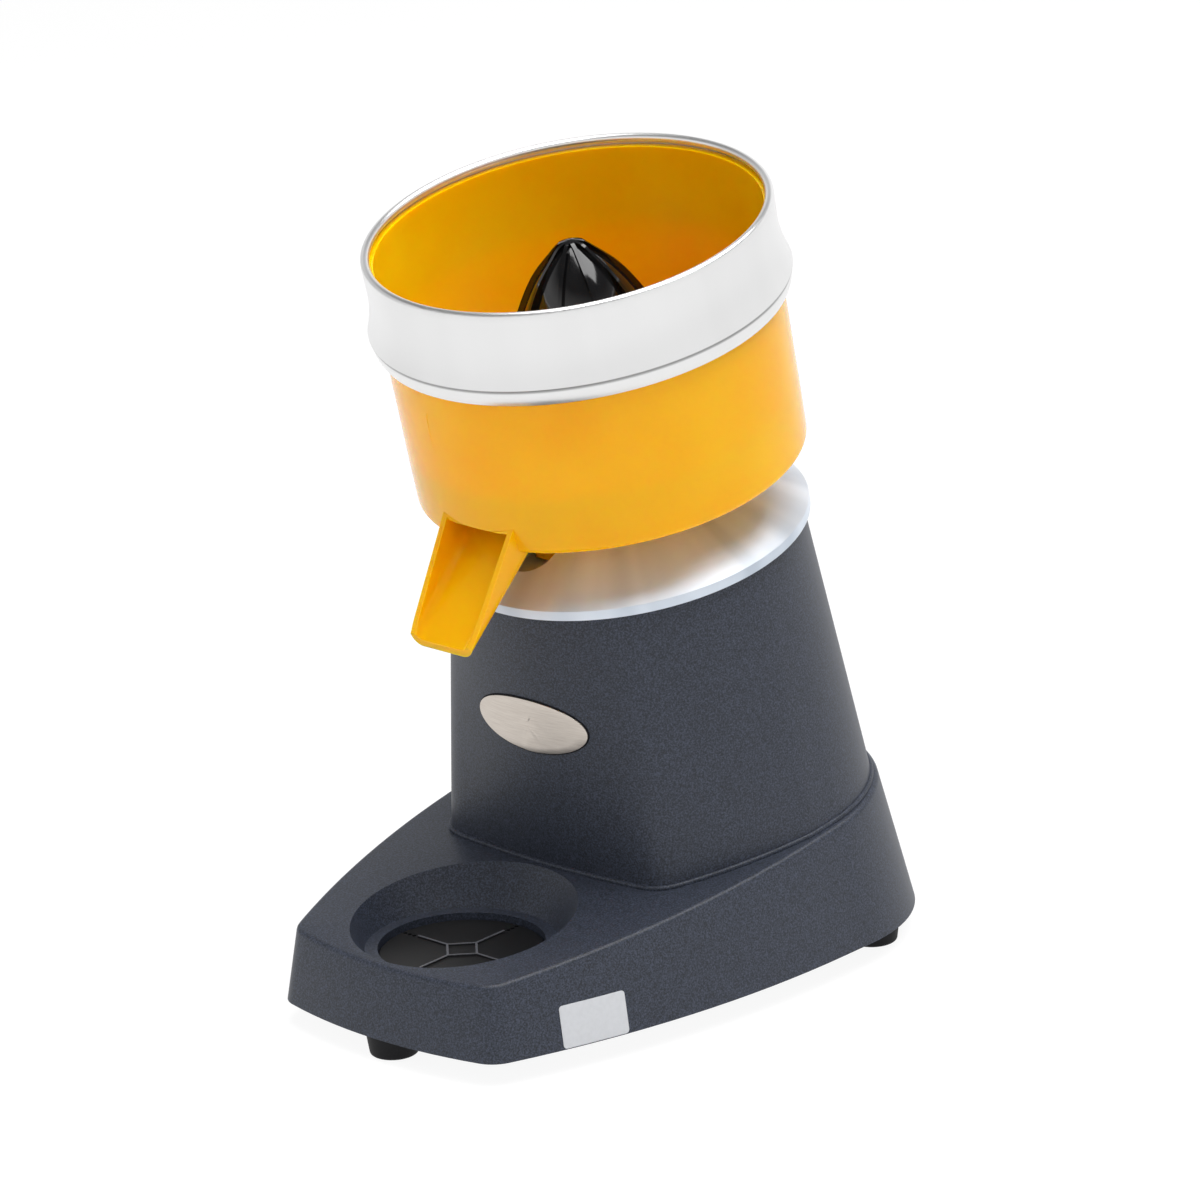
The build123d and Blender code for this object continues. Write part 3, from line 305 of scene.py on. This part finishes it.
def moulded(name, tones, sheen, grain, depth, ior=1.5, shine=0.5):
    """Plastic or rubber as it leaves the mould; grain and depth are in millimetres."""
    # The mould's skin prints its grain on the part: colour hardly changes, and the highlight
    # breaks up over the grain, or stays sharp where the mould was polished.
    material, shader, where = blank(name)
    skin = add_node(
        material, "ShaderNodeTexNoise",
        {"Scale": 1 / (grain * MM), "Detail": 2.0, "Roughness": 0.6}, {"Vector": where},
    ).outputs["Fac"]
    colour = add_node(
        material, "ShaderNodeValToRGB", None, {"Fac": skin},
        ((0.35, linear(tones[0])), (0.65, linear(tones[1]))),
    ).outputs["Color"]
    gloss = add_node(
        material, "ShaderNodeMapRange", {"To Min": sheen[0], "To Max": sheen[1]}, {"Value": skin},
    ).outputs["Result"]
    bump = add_node(
        material, "ShaderNodeBump", {"Strength": 0.3, "Distance": depth * MM}, {"Height": skin},
    ).outputs["Normal"]
    coat(shader, colour, gloss, bump)
    shader.inputs["IOR"].default_value = ior
    shader.inputs["Specular IOR Level"].default_value = shine
    return material


def ribbed_polypropylene(crest, depth):
    """Matt black polypropylene whose crests' tops carry a painted highlight in grey and are a
    little less rough.
    """
    # Below the crests the grid is near black; only the top, as deep as depth, has the painted
    # highlight.
    material, shader, where = blank("black_polypropylene_painted_highlight")
    skin = add_node(
        material, "ShaderNodeTexNoise",
        {"Scale": 1 / (0.8 * MM), "Detail": 2.0, "Roughness": 0.6}, {"Vector": where},
    ).outputs["Fac"]
    height = add_node(material, "ShaderNodeSeparateXYZ", None, {"Vector": where}).outputs["Z"]
    near_crest = add_node(
        material, "ShaderNodeMapRange", {"From Min": crest - depth, "From Max": crest},
        {"Value": height},
    ).outputs["Result"]
    painted_highlight = add_node(
        material, "ShaderNodeMath", {"operation": "MULTIPLY"}, {0: near_crest, 1: skin},
    ).outputs["Value"]
    # Painted highlight: the crests' tops are painted grey, where light catches them.
    colour = add_node(
        material, "ShaderNodeValToRGB", None, {"Fac": painted_highlight},
        ((0.05, linear("#08080A")), (0.60, linear("#5C5D63"))),
    ).outputs["Color"]
    gloss = add_node(
        material, "ShaderNodeMapRange", {"To Min": 0.50, "To Max": 0.28}, {"Value": painted_highlight},
    ).outputs["Result"]
    bump = add_node(
        material, "ShaderNodeBump", {"Strength": 0.3, "Distance": 0.04 * MM}, {"Height": skin},
    ).outputs["Normal"]
    coat(shader, colour, gloss, bump)
    return material


def bare_metal(name, tones, sheen, mark, stretch=(1, 1, 1), turned=False):
    """Plated, ground, cast or brushed metal; mark is its width in millimetres."""
    # Marks run the way the metal was worked, where stretch is small, and the highlight
    # draws out along them; cast and plated skins have marks of one size every way.
    material, shader, where = blank(name)
    turn = {"Rotation": (-LEAN, 0, 0)} if turned else {}
    along = add_node(
        material, "ShaderNodeMapping", {**turn, "Scale": stretch}, {"Vector": where},
    ).outputs["Vector"]
    marks = add_node(
        material, "ShaderNodeTexNoise",
        {"Scale": 1 / (mark * MM), "Detail": 3.0, "Roughness": 0.65}, {"Vector": along},
    ).outputs["Fac"]
    colour = add_node(
        material, "ShaderNodeValToRGB", None, {"Fac": marks},
        ((0.35, linear(tones[0])), (0.65, linear(tones[1]))),
    ).outputs["Color"]
    gloss = add_node(
        material, "ShaderNodeMapRange", {"To Min": sheen[0], "To Max": sheen[1]}, {"Value": marks},
    ).outputs["Result"]
    bump = add_node(
        material, "ShaderNodeBump", {"Strength": 0.2, "Distance": 0.02 * MM}, {"Height": marks},
    ).outputs["Normal"]
    coat(shader, colour, gloss, bump)
    shader.inputs["Metallic"].default_value = 1.0
    return material


# ---------------------------------------------------------------- plates
def fitted_plate(name, carrier, start, way, width, height, thickness, corner=None):
    """A thin bare plate that follows its carrier: an oval, or a rectangle with round corners."""
    hit, middle, outward, _ = carrier.ray_cast(start, way)
    if not hit:
        raise RuntimeError(name + " has nothing under it")
    up = (Vector((0, 0, 1)) - outward.z * outward).normalized()
    across = up.cross(outward)
    deselect()
    if corner is None:
        bpy.ops.mesh.primitive_circle_add(vertices=96, radius=0.5, fill_type="NGON")
    else:
        bpy.ops.mesh.primitive_plane_add(size=1)
    plate = bpy.context.object
    plate.name = name
    bpy.ops.object.mode_set(mode="EDIT")
    bpy.ops.mesh.select_all(action="SELECT")
    bpy.ops.transform.resize(value=(width, height, 1))
    if corner is not None:
        bpy.ops.mesh.bevel(offset=corner, segments=6, affect="VERTICES")
        bpy.ops.mesh.select_all(action="SELECT")
        bpy.ops.mesh.subdivide(number_cuts=9)
    bpy.ops.mesh.select_all(action="SELECT")
    for share in PLATE_RINGS:
        bpy.ops.mesh.inset(thickness=0.02 * MM)
        bpy.ops.transform.resize(value=(share, share, 1))
    bpy.ops.mesh.poke()
    bpy.ops.object.mode_set(mode="OBJECT")
    turn = Matrix((across, up, outward)).transposed().to_4x4()
    plate.matrix_world = Matrix.Translation(middle) @ turn
    wrap = plate.modifiers.new("wrap", "SHRINKWRAP")
    wrap.target, wrap.wrap_method, wrap.use_project_z = carrier, "PROJECT", True
    wrap.use_negative_direction = wrap.use_positive_direction = True
    wrap.offset = -PLATE_BEDDING
    wall = plate.modifiers.new("wall", "SOLIDIFY")
    wall.thickness, wall.offset = thickness + PLATE_BEDDING, 1.0
    edge = plate.modifiers.new("edge", "BEVEL")
    edge.width, edge.segments, edge.limit_method = thickness * PLATE_EDGE, 3, "ANGLE"
    for modifier in ("wrap", "wall", "edge"):
        bpy.ops.object.modifier_apply(modifier=modifier)
    bpy.ops.object.transform_apply(location=True, rotation=True, scale=True)
    bpy.ops.object.shade_smooth_by_angle(angle=math.radians(30))
    return plate


# ---------------------------------------------------------------- settings
class JuicerPaint(bpy.types.PropertyGroup):
    ground: FloatVectorProperty(
        name="Ground", description="Dark ground colour of the powder paint",
        subtype="COLOR", size=3, min=0, max=1, default=linear("#21252C")[:3],
    )
    fleck: FloatVectorProperty(
        name="Fleck", description="Lighter fleck on the powder paint's grains",
        subtype="COLOR", size=3, min=0, max=1, default=linear("#424858")[:3],
    )
    grain: FloatProperty(
        name="Grain", description="Size of the paint's grains as drawn", unit="LENGTH",
        default=0.75 * MM, min=0.2 * MM, max=5 * MM,
    )


class JuicerBowl(bpy.types.PropertyGroup):
    deep: FloatVectorProperty(
        name="Deep amber", description="Deeper colour of the bowl",
        subtype="COLOR", size=3, min=0, max=1, default=linear("#FBB000")[:3],
    )
    bright: FloatVectorProperty(
        name="Bright amber", description="Brighter colour of the bowl",
        subtype="COLOR", size=3, min=0, max=1, default=linear("#FFBB08")[:3],
    )


class JuicerPlates(bpy.types.PropertyGroup):
    badge_width: FloatProperty(
        name="Badge width", description="Width of the bare oval badge", unit="LENGTH",
        default=61.5 * MM,
    )
    badge_height: FloatProperty(
        name="Badge height", description="Height of the bare oval badge", unit="LENGTH",
        default=24.5 * MM,
    )
    badge_middle: FloatProperty(
        name="Badge middle", description="Height of the badge's middle over the table",
        unit="LENGTH", default=121.5 * MM,
    )
    label_width: FloatProperty(
        name="Label width", description="Width of the blank label", unit="LENGTH",
        default=31.5 * MM,
    )
    label_height: FloatProperty(
        name="Label height", description="Height of the blank label", unit="LENGTH",
        default=18.6 * MM,
    )


class JuicerStudio(bpy.types.PropertyGroup):
    fill: FloatProperty(
        name="Fill", description="Strength of the light from all round", default=0.27, min=0, max=5,
    )
    top_power: FloatProperty(
        name="Top softbox", description="Power of the softbox overhead", unit="POWER",
        default=45.0,
    )
    side_power: FloatProperty(
        name="Side softbox", description="Power of the softbox at the right", unit="POWER",
        default=6.4,
    )


# ---------------------------------------------------------------- operators
class JUICER_OT_castings(bpy.types.Operator):
    """Finish the base, the motor housing and the plate under them"""

    bl_idname = "juicer.castings"
    bl_label = "Castings"

    def execute(self, context):
        paint = textured_powder_paint(context.scene.juicer_paint)
        for node in ("base_casting", "motor_housing"):
            dress(smooth_copy(node), paint, "housing")
        coated = bare_metal(
            "coated_sheet_steel", ("#6E7174", "#7C7F82"), sheen=(0.40, 0.52), mark=3.0,
        )
        dress_node("bottom_plate", coated)
        return {"FINISHED"}


class JUICER_OT_disc(bpy.types.Operator):
    """Finish the turned top of the motor"""

    bl_idname = "juicer.disc"
    bl_label = "Top disc"

    def execute(self, context):
        # Bare metal straight from the lathe: light grey with a painted blue cast that offsets the
        # bowl's warm reflected light, and a painted glint that fans out.
        turned = spun_aluminium(
            "turned_aluminium", ("#BAC4D0", "#E8EFF8"), sheen=(0.34, 0.46),
            groove=0.06, spread=0.8, metallic=0.50,
        )
        dress(smooth_copy("top_disc"), turned, "housing")
        return {"FINISHED"}


class JUICER_OT_ring(bpy.types.Operator):
    """Finish the band round the bowl"""

    bl_idname = "juicer.ring"
    bl_label = "Bowl ring"

    def execute(self, context):
        # Anodising dulls the lathe's lines to a smooth, almost white satin; a line of painted shade
        # runs along the crease.
        satin = spun_aluminium(
            "satin_anodised_aluminium", ("#E3E3E3", "#E8E8E8"), sheen=(0.27, 0.29),
            groove=0.004, spread=0.5, metallic=0.92, shade_line_height=RING_CREASE_T,
        )
        dress(smooth_copy("bowl_ring", 40), satin, "bowl")
        return {"FINISHED"}


class JUICER_OT_bowl(bpy.types.Operator):
    """Finish the amber bowl and its spout"""

    bl_idname = "juicer.bowl"
    bl_label = "Bowl"

    def execute(self, context):
        amber = amber_polycarbonate(context.scene.juicer_bowl)
        dress(smooth_copy("bowl", 28), amber, "bowl")
        return {"FINISHED"}


class JUICER_OT_cone(bpy.types.Operator):
    """Finish the squeezing cone and the strainer under it"""

    bl_idname = "juicer.cone"
    bl_label = "Cone and strainer"

    def execute(self, context):
        gloss = moulded(
            "polished_black_abs", ("#08080A", "#0D0D0F"), sheen=(0.07, 0.12),
            grain=6.0, depth=0.02, ior=1.54,
        )
        dress(smooth_copy("squeezing_cone", 30), gloss, "cone")
        sheet = bare_metal(
            "pressed_stainless_sheet", ("#B9B9BA", "#D2D2D3"), sheen=(0.26, 0.38),
            mark=0.6, stretch=(0.1, 0.1, 1), turned=True,
        )
        dress_node("strainer", sheet)
        return {"FINISHED"}


class JUICER_OT_grid(bpy.types.Operator):
    """Finish the drip grid"""

    bl_idname = "juicer.grid"
    bl_label = "Drip grid"

    def execute(self, context):
        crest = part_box("drip_grid")[1][2]
        dress_node("drip_grid", ribbed_polypropylene(crest, depth=0.6 * MM))
        return {"FINISHED"}


class JUICER_OT_feet(bpy.types.Operator):
    """Finish the rubber feet and the shaft seal"""

    bl_idname = "juicer.feet"
    bl_label = "Rubber parts"

    def execute(self, context):
        rubber = moulded(
            "moulded_nitrile_rubber", ("#0A0A0D", "#111114"), sheen=(0.50, 0.70),
            grain=0.8, depth=0.05, ior=1.52, shine=0.2,
        )
        for node in ("front_foot", "rear_foot_left", "rear_foot_right", "shaft_seal"):
            dress_node(node, rubber)
        return {"FINISHED"}


class JUICER_OT_switch(bpy.types.Operator):
    """Finish the rocker switch and the cable entry"""

    bl_idname = "juicer.switch"
    bl_label = "Switch and cable entry"

    def execute(self, context):
        grained = moulded(
            "grained_black_nylon", ("#131315", "#1F1F22"), sheen=(0.35, 0.50),
            grain=0.5, depth=0.03, ior=1.53,
        )
        for node in ("switch_body", "cable_gland", "gland_nut"):
            dress_node(node, grained)
        polished = moulded(
            "polished_black_nylon", ("#0E0E10", "#161619"), sheen=(0.18, 0.28),
            grain=2.0, depth=0.02, ior=1.53,
        )
        dress_node("switch_rocker", polished)
        return {"FINISHED"}


class JUICER_OT_motor(bpy.types.Operator):
    """Finish the motor and the electrical parts inside"""

    bl_idname = "juicer.motor"
    bl_label = "Motor"

    def execute(self, context):
        around, stacked, wound = (0.05, 0.05, 1), (0.02, 0.02, 1), (1, 1, 0.4)
        plated = bare_metal(
            "zinc_plated_steel", ("#A7A9AB", "#C9CBCC"), sheen=(0.28, 0.42), mark=0.6,
        )
        ground = bare_metal(
            "ground_bearing_steel", ("#B4B6B9", "#CFD1D3"), sheen=(0.14, 0.24),
            mark=0.6, stretch=around, turned=True,
        )
        sheets = bare_metal(
            "stacked_electrical_sheet", ("#4A4B4E", "#68696C"), sheen=(0.38, 0.55),
            mark=0.5, stretch=stacked, turned=True,
        )
        copper = bare_metal(
            "enamelled_copper_wire", ("#8A4A22", "#C47A45"), sheen=(0.24, 0.40),
            mark=0.9, stretch=wound, turned=True,
        )
        cast = bare_metal(
            "sand_cast_aluminium", ("#8F9092", "#B3B4B5"), sheen=(0.40, 0.58), mark=1.6,
        )
        nylon = moulded(
            "moulded_black_nylon", ("#161618", "#222225"), sheen=(0.40, 0.55),
            grain=0.5, depth=0.03,
        )
        polyester = moulded(
            "moulded_off_white_pbt", ("#CFCDC4", "#DEDCD4"), sheen=(0.30, 0.42),
            grain=1.2, depth=0.03,
        )
        natural = moulded(
            "natural_nylon", ("#D8D4C4", "#E6E2D4"), sheen=(0.32, 0.45), grain=1.0, depth=0.03,
        )
        finishes = {
            plated: (
                "foot_screws", "plate_screws", "housing_screws", "disc_screws",
                "tie_bolts", "capacitor_clip",
            ),
            ground: (
                "upper_bearing_outer", "upper_bearing_inner",
                "lower_bearing_outer", "lower_bearing_inner", "motor_shaft", "drive_pin",
            ),
            sheets: ("stator_stack", "rotor_core"),
            copper: ("stator_windings",),
            cast: ("lower_shield", "rotor_rings"),
            nylon: ("cooling_fan",),
            polyester: ("capacitor",),
            natural: ("terminal_block",),
        }
        for material, names in finishes.items():
            for node in names:
                dress_node(node, material)
        return {"FINISHED"}


class JUICER_OT_badge(bpy.types.Operator):
    """Rivet a bare oval badge to the housing's front"""

    bl_idname = "juicer.badge"
    bl_label = "Badge"

    def execute(self, context):
        sizes = context.scene.juicer_plates
        housing = bpy.data.objects["motor_housing_surface"]
        start, way = Vector((*BADGE_START, sizes.badge_middle)), Vector((0, 1, 0))
        brushed = bare_metal(
            "brushed_nickel_silver", ("#BFB6AD", "#CFC7BE"), sheen=(0.30, 0.40),
            mark=0.35, stretch=(0.03, 0.03, 1),
        )
        # Painted shade: a black oval, 1.2 mm wider than the badge and under it, stands in for the
        # dark line that shade and dark reflection draw round the badge's edge.
        shade_outline_finish = moulded(
            "black_shade_outline", ("#101013", "#18181B"), sheen=(0.70, 0.85),
            grain=0.6, depth=0.05, shine=0.2,
        )
        for name, margin, thickness, material in (
            ("bare_badge", 0.0, 0.8 * MM, brushed),
            ("badge_shade_outline", 1.2 * MM, 0.4 * MM, shade_outline_finish),
        ):
            plate = fitted_plate(
                name, housing, start, way,
                sizes.badge_width + margin, sizes.badge_height + margin, thickness,
            )
            dress(plate, material, "housing")
        return {"FINISHED"}


class JUICER_OT_label(bpy.types.Operator):
    """Stick a blank label on the base's right side"""

    bl_idname = "juicer.label"
    bl_label = "Label"

    def execute(self, context):
        sizes = context.scene.juicer_plates
        label = fitted_plate(
            "blank_label", bpy.data.objects["base_casting_surface"],
            LABEL_MIDDLE + LABEL_REACH * LABEL_OUTWARD, -LABEL_OUTWARD,
            sizes.label_width, sizes.label_height, thickness=0.2 * MM, corner=1.6 * MM,
        )
        film = moulded(
            "calendered_white_vinyl", ("#C6C8CC", "#CACCD0"), sheen=(0.34, 0.38),
            grain=2.0, depth=0.003, ior=1.54,
        )
        dress(label, film, "housing")
        return {"FINISHED"}


class JUICER_OT_stage(bpy.types.Operator):
    """Lay the floor and set the lamps, the world and the camera"""

    bl_idname = "juicer.stage"
    bl_label = "Studio"

    def execute(self, context):
        studio = context.scene.juicer_studio
        self.lay_floor()
        self.light_world(context, studio.fill)
        lamps = (
            ("top_softbox", (0.2, 0.2, 1.7), 1.6, studio.top_power),
            ("side_softbox", (1.3, -0.8, 1.2), 1.4, studio.side_power),
            ("left_softbox", (-1.2, -1.3, 1.2), 1.2, studio.side_power * 0.95),
        )
        for name, place, size, power in lamps:
            data = bpy.data.lights.new(name, "AREA")
            data.size, data.energy = size, power
            lamp = bpy.data.objects.new(name, data)
            context.scene.collection.objects.link(lamp)
            lamp.location = place
            lamp.visible_glossy = name == "top_softbox"
            way = LAMP_TARGET - Vector(place)
            lamp.rotation_euler = way.to_track_quat("-Z", "Y").to_euler()
        self.place_camera(context)
        context.scene.view_settings.view_transform = "Standard"
        return {"FINISHED"}

    def lay_floor(self):
        """White paper. What sees it directly sees white; the rest of it takes the shadow."""
        deselect()
        bpy.ops.mesh.primitive_plane_add(size=12, location=(0, 0, -0.2 * MM))
        floor = bpy.context.object
        floor.name = "studio_floor"
        material, shader, where = blank("white_paper_sweep")
        tone = add_node(
            material, "ShaderNodeTexNoise", {"Scale": 2.5}, {"Vector": where},
        ).outputs["Fac"]
        paper = add_node(
            material, "ShaderNodeValToRGB", None, {"Fac": tone},
            ((0.3, linear("#ECECEC")), (0.7, linear("#F0F0F0"))),
        ).outputs["Color"]
        feed(shader, "Base Color", paper)
        shader.inputs["Roughness"].default_value = 0.9
        glow = add_node(material, "ShaderNodeEmission", {"Strength": 1.06}).outputs[0]
        seen = self.seen_directly(material)
        share = add_node(
            material, "ShaderNodeMath", {"operation": "MULTIPLY", 1: 0.86}, {0: seen},
        ).outputs["Value"]
        mixed = add_node(
            material, "ShaderNodeMixShader", None, {0: share, 1: shader.outputs[0], 2: glow},
        ).outputs[0]
        feed(material.node_tree.nodes["Material Output"], "Surface", mixed)
        floor.data.materials.append(material)

    def seen_directly(self, material):
        """One for camera, glossy and transmission rays, which show the white background."""
        path = add_node(material, "ShaderNodeLightPath")
        either = add_node(
            material, "ShaderNodeMath", {"operation": "MAXIMUM"},
            {0: path.outputs["Is Camera Ray"], 1: path.outputs["Is Glossy Ray"]},
        ).outputs["Value"]
        return add_node(
            material, "ShaderNodeMath", {"operation": "MAXIMUM"},
            {0: either, 1: path.outputs["Is Transmission Ray"]},
        ).outputs["Value"]

    def light_world(self, context, fill):
        """White low down, as the background, with a dim ceiling and left wing for gloss."""
        world = bpy.data.worlds.new("studio_world")
        context.scene.world = world
        world.use_nodes = True
        way = add_node(world, "ShaderNodeTexCoord").outputs["Generated"]
        split = add_node(world, "ShaderNodeSeparateXYZ", None, {"Vector": way})
        ceiling = add_node(
            world, "ShaderNodeMapRange",
            {"From Min": 0.35, "From Max": 0.60, "To Min": 1.0, "To Max": 0.15},
            {"Value": split.outputs["Z"]},
        ).outputs["Result"]
        wing = add_node(
            world, "ShaderNodeMapRange",
            {"From Min": -0.97, "From Max": -0.70, "To Min": 0.6, "To Max": 1.0},
            {"Value": split.outputs["X"]},
        ).outputs["Result"]
        room = add_node(
            world, "ShaderNodeMath", {"operation": "MULTIPLY"}, {0: ceiling, 1: wing},
        ).outputs["Value"]
        path = add_node(world, "ShaderNodeLightPath")
        backdrop = add_node(
            world, "ShaderNodeMath", {"operation": "MAXIMUM"},
            {0: path.outputs["Is Camera Ray"], 1: room},
        ).outputs["Value"]
        seen = self.seen_directly(world)
        strength = add_node(
            world, "ShaderNodeMix", {"data_type": "FLOAT", 2: fill}, {0: seen, 3: backdrop},
        ).outputs[0]
        background = world.node_tree.nodes["Background"]
        background.inputs["Color"].default_value = (1, 1, 1, 1)
        feed(background, "Strength", strength)

    def place_camera(self, context):
        azimuth, elevation, roll = (math.radians(a) for a in CAMERA_ANGLES)
        forward = Vector((
            -math.sin(azimuth) * math.cos(elevation),
            math.cos(azimuth) * math.cos(elevation),
            -math.sin(elevation),
        ))
        right = forward.cross(Vector((0, 0, 1))).normalized()
        up = right.cross(forward)
        across = math.cos(roll) * right + math.sin(roll) * up
        upright = -math.sin(roll) * right + math.cos(roll) * up
        data = bpy.data.cameras.new("camera")
        data.lens, data.sensor_width = CAMERA_LENS, 36.0
        data.shift_x, data.shift_y = CAMERA_SHIFT
        data.clip_end = 20.0
        camera = bpy.data.objects.new("camera", data)
        context.scene.collection.objects.link(camera)
        turn = Matrix((across, upright, -forward)).transposed().to_4x4()
        camera.matrix_world = Matrix.Translation(CAMERA_PLACE) @ turn
        context.scene.camera = camera


class JUICER_PT_panel(bpy.types.Panel):
    """Lists the juicer's steps"""

    bl_label = "Citrus Juicer"
    bl_idname = "JUICER_PT_panel"
    bl_space_type = "VIEW_3D"
    bl_region_type = "UI"
    bl_category = "Juicer"

    def draw(self, context):
        for group in (
            context.scene.juicer_paint,
            context.scene.juicer_bowl,
            context.scene.juicer_plates,
            context.scene.juicer_studio,
        ):
            box = self.layout.box()
            for prop in group.bl_rna.properties:
                if prop.identifier not in ("rna_type", "name"):
                    box.prop(group, prop.identifier)
        for step in STEPS:
            self.layout.operator(step.bl_idname)


SETTINGS = {
    "juicer_paint": JuicerPaint,
    "juicer_bowl": JuicerBowl,
    "juicer_plates": JuicerPlates,
    "juicer_studio": JuicerStudio,
}
STEPS = (
    JUICER_OT_castings,
    JUICER_OT_disc,
    JUICER_OT_ring,
    JUICER_OT_bowl,
    JUICER_OT_cone,
    JUICER_OT_grid,
    JUICER_OT_feet,
    JUICER_OT_switch,
    JUICER_OT_motor,
    JUICER_OT_badge,
    JUICER_OT_label,
    JUICER_OT_stage,
)


def register():
    for kind in (*SETTINGS.values(), *STEPS, JUICER_PT_panel):
        bpy.utils.register_class(kind)
    for name, kind in SETTINGS.items():
        setattr(bpy.types.Scene, name, PointerProperty(type=kind))


def unregister():
    for name in SETTINGS:
        delattr(bpy.types.Scene, name)
    for kind in reversed((*SETTINGS.values(), *STEPS, JUICER_PT_panel)):
        bpy.utils.unregister_class(kind)


def main():
    register()
    for step in STEPS:
        group, name = step.bl_idname.split(".")
        result = getattr(getattr(bpy.ops, group), name)()
        if result != {"FINISHED"}:
            raise RuntimeError(step.bl_label + " didn't finish")


if __name__ == "__main__":
    main()
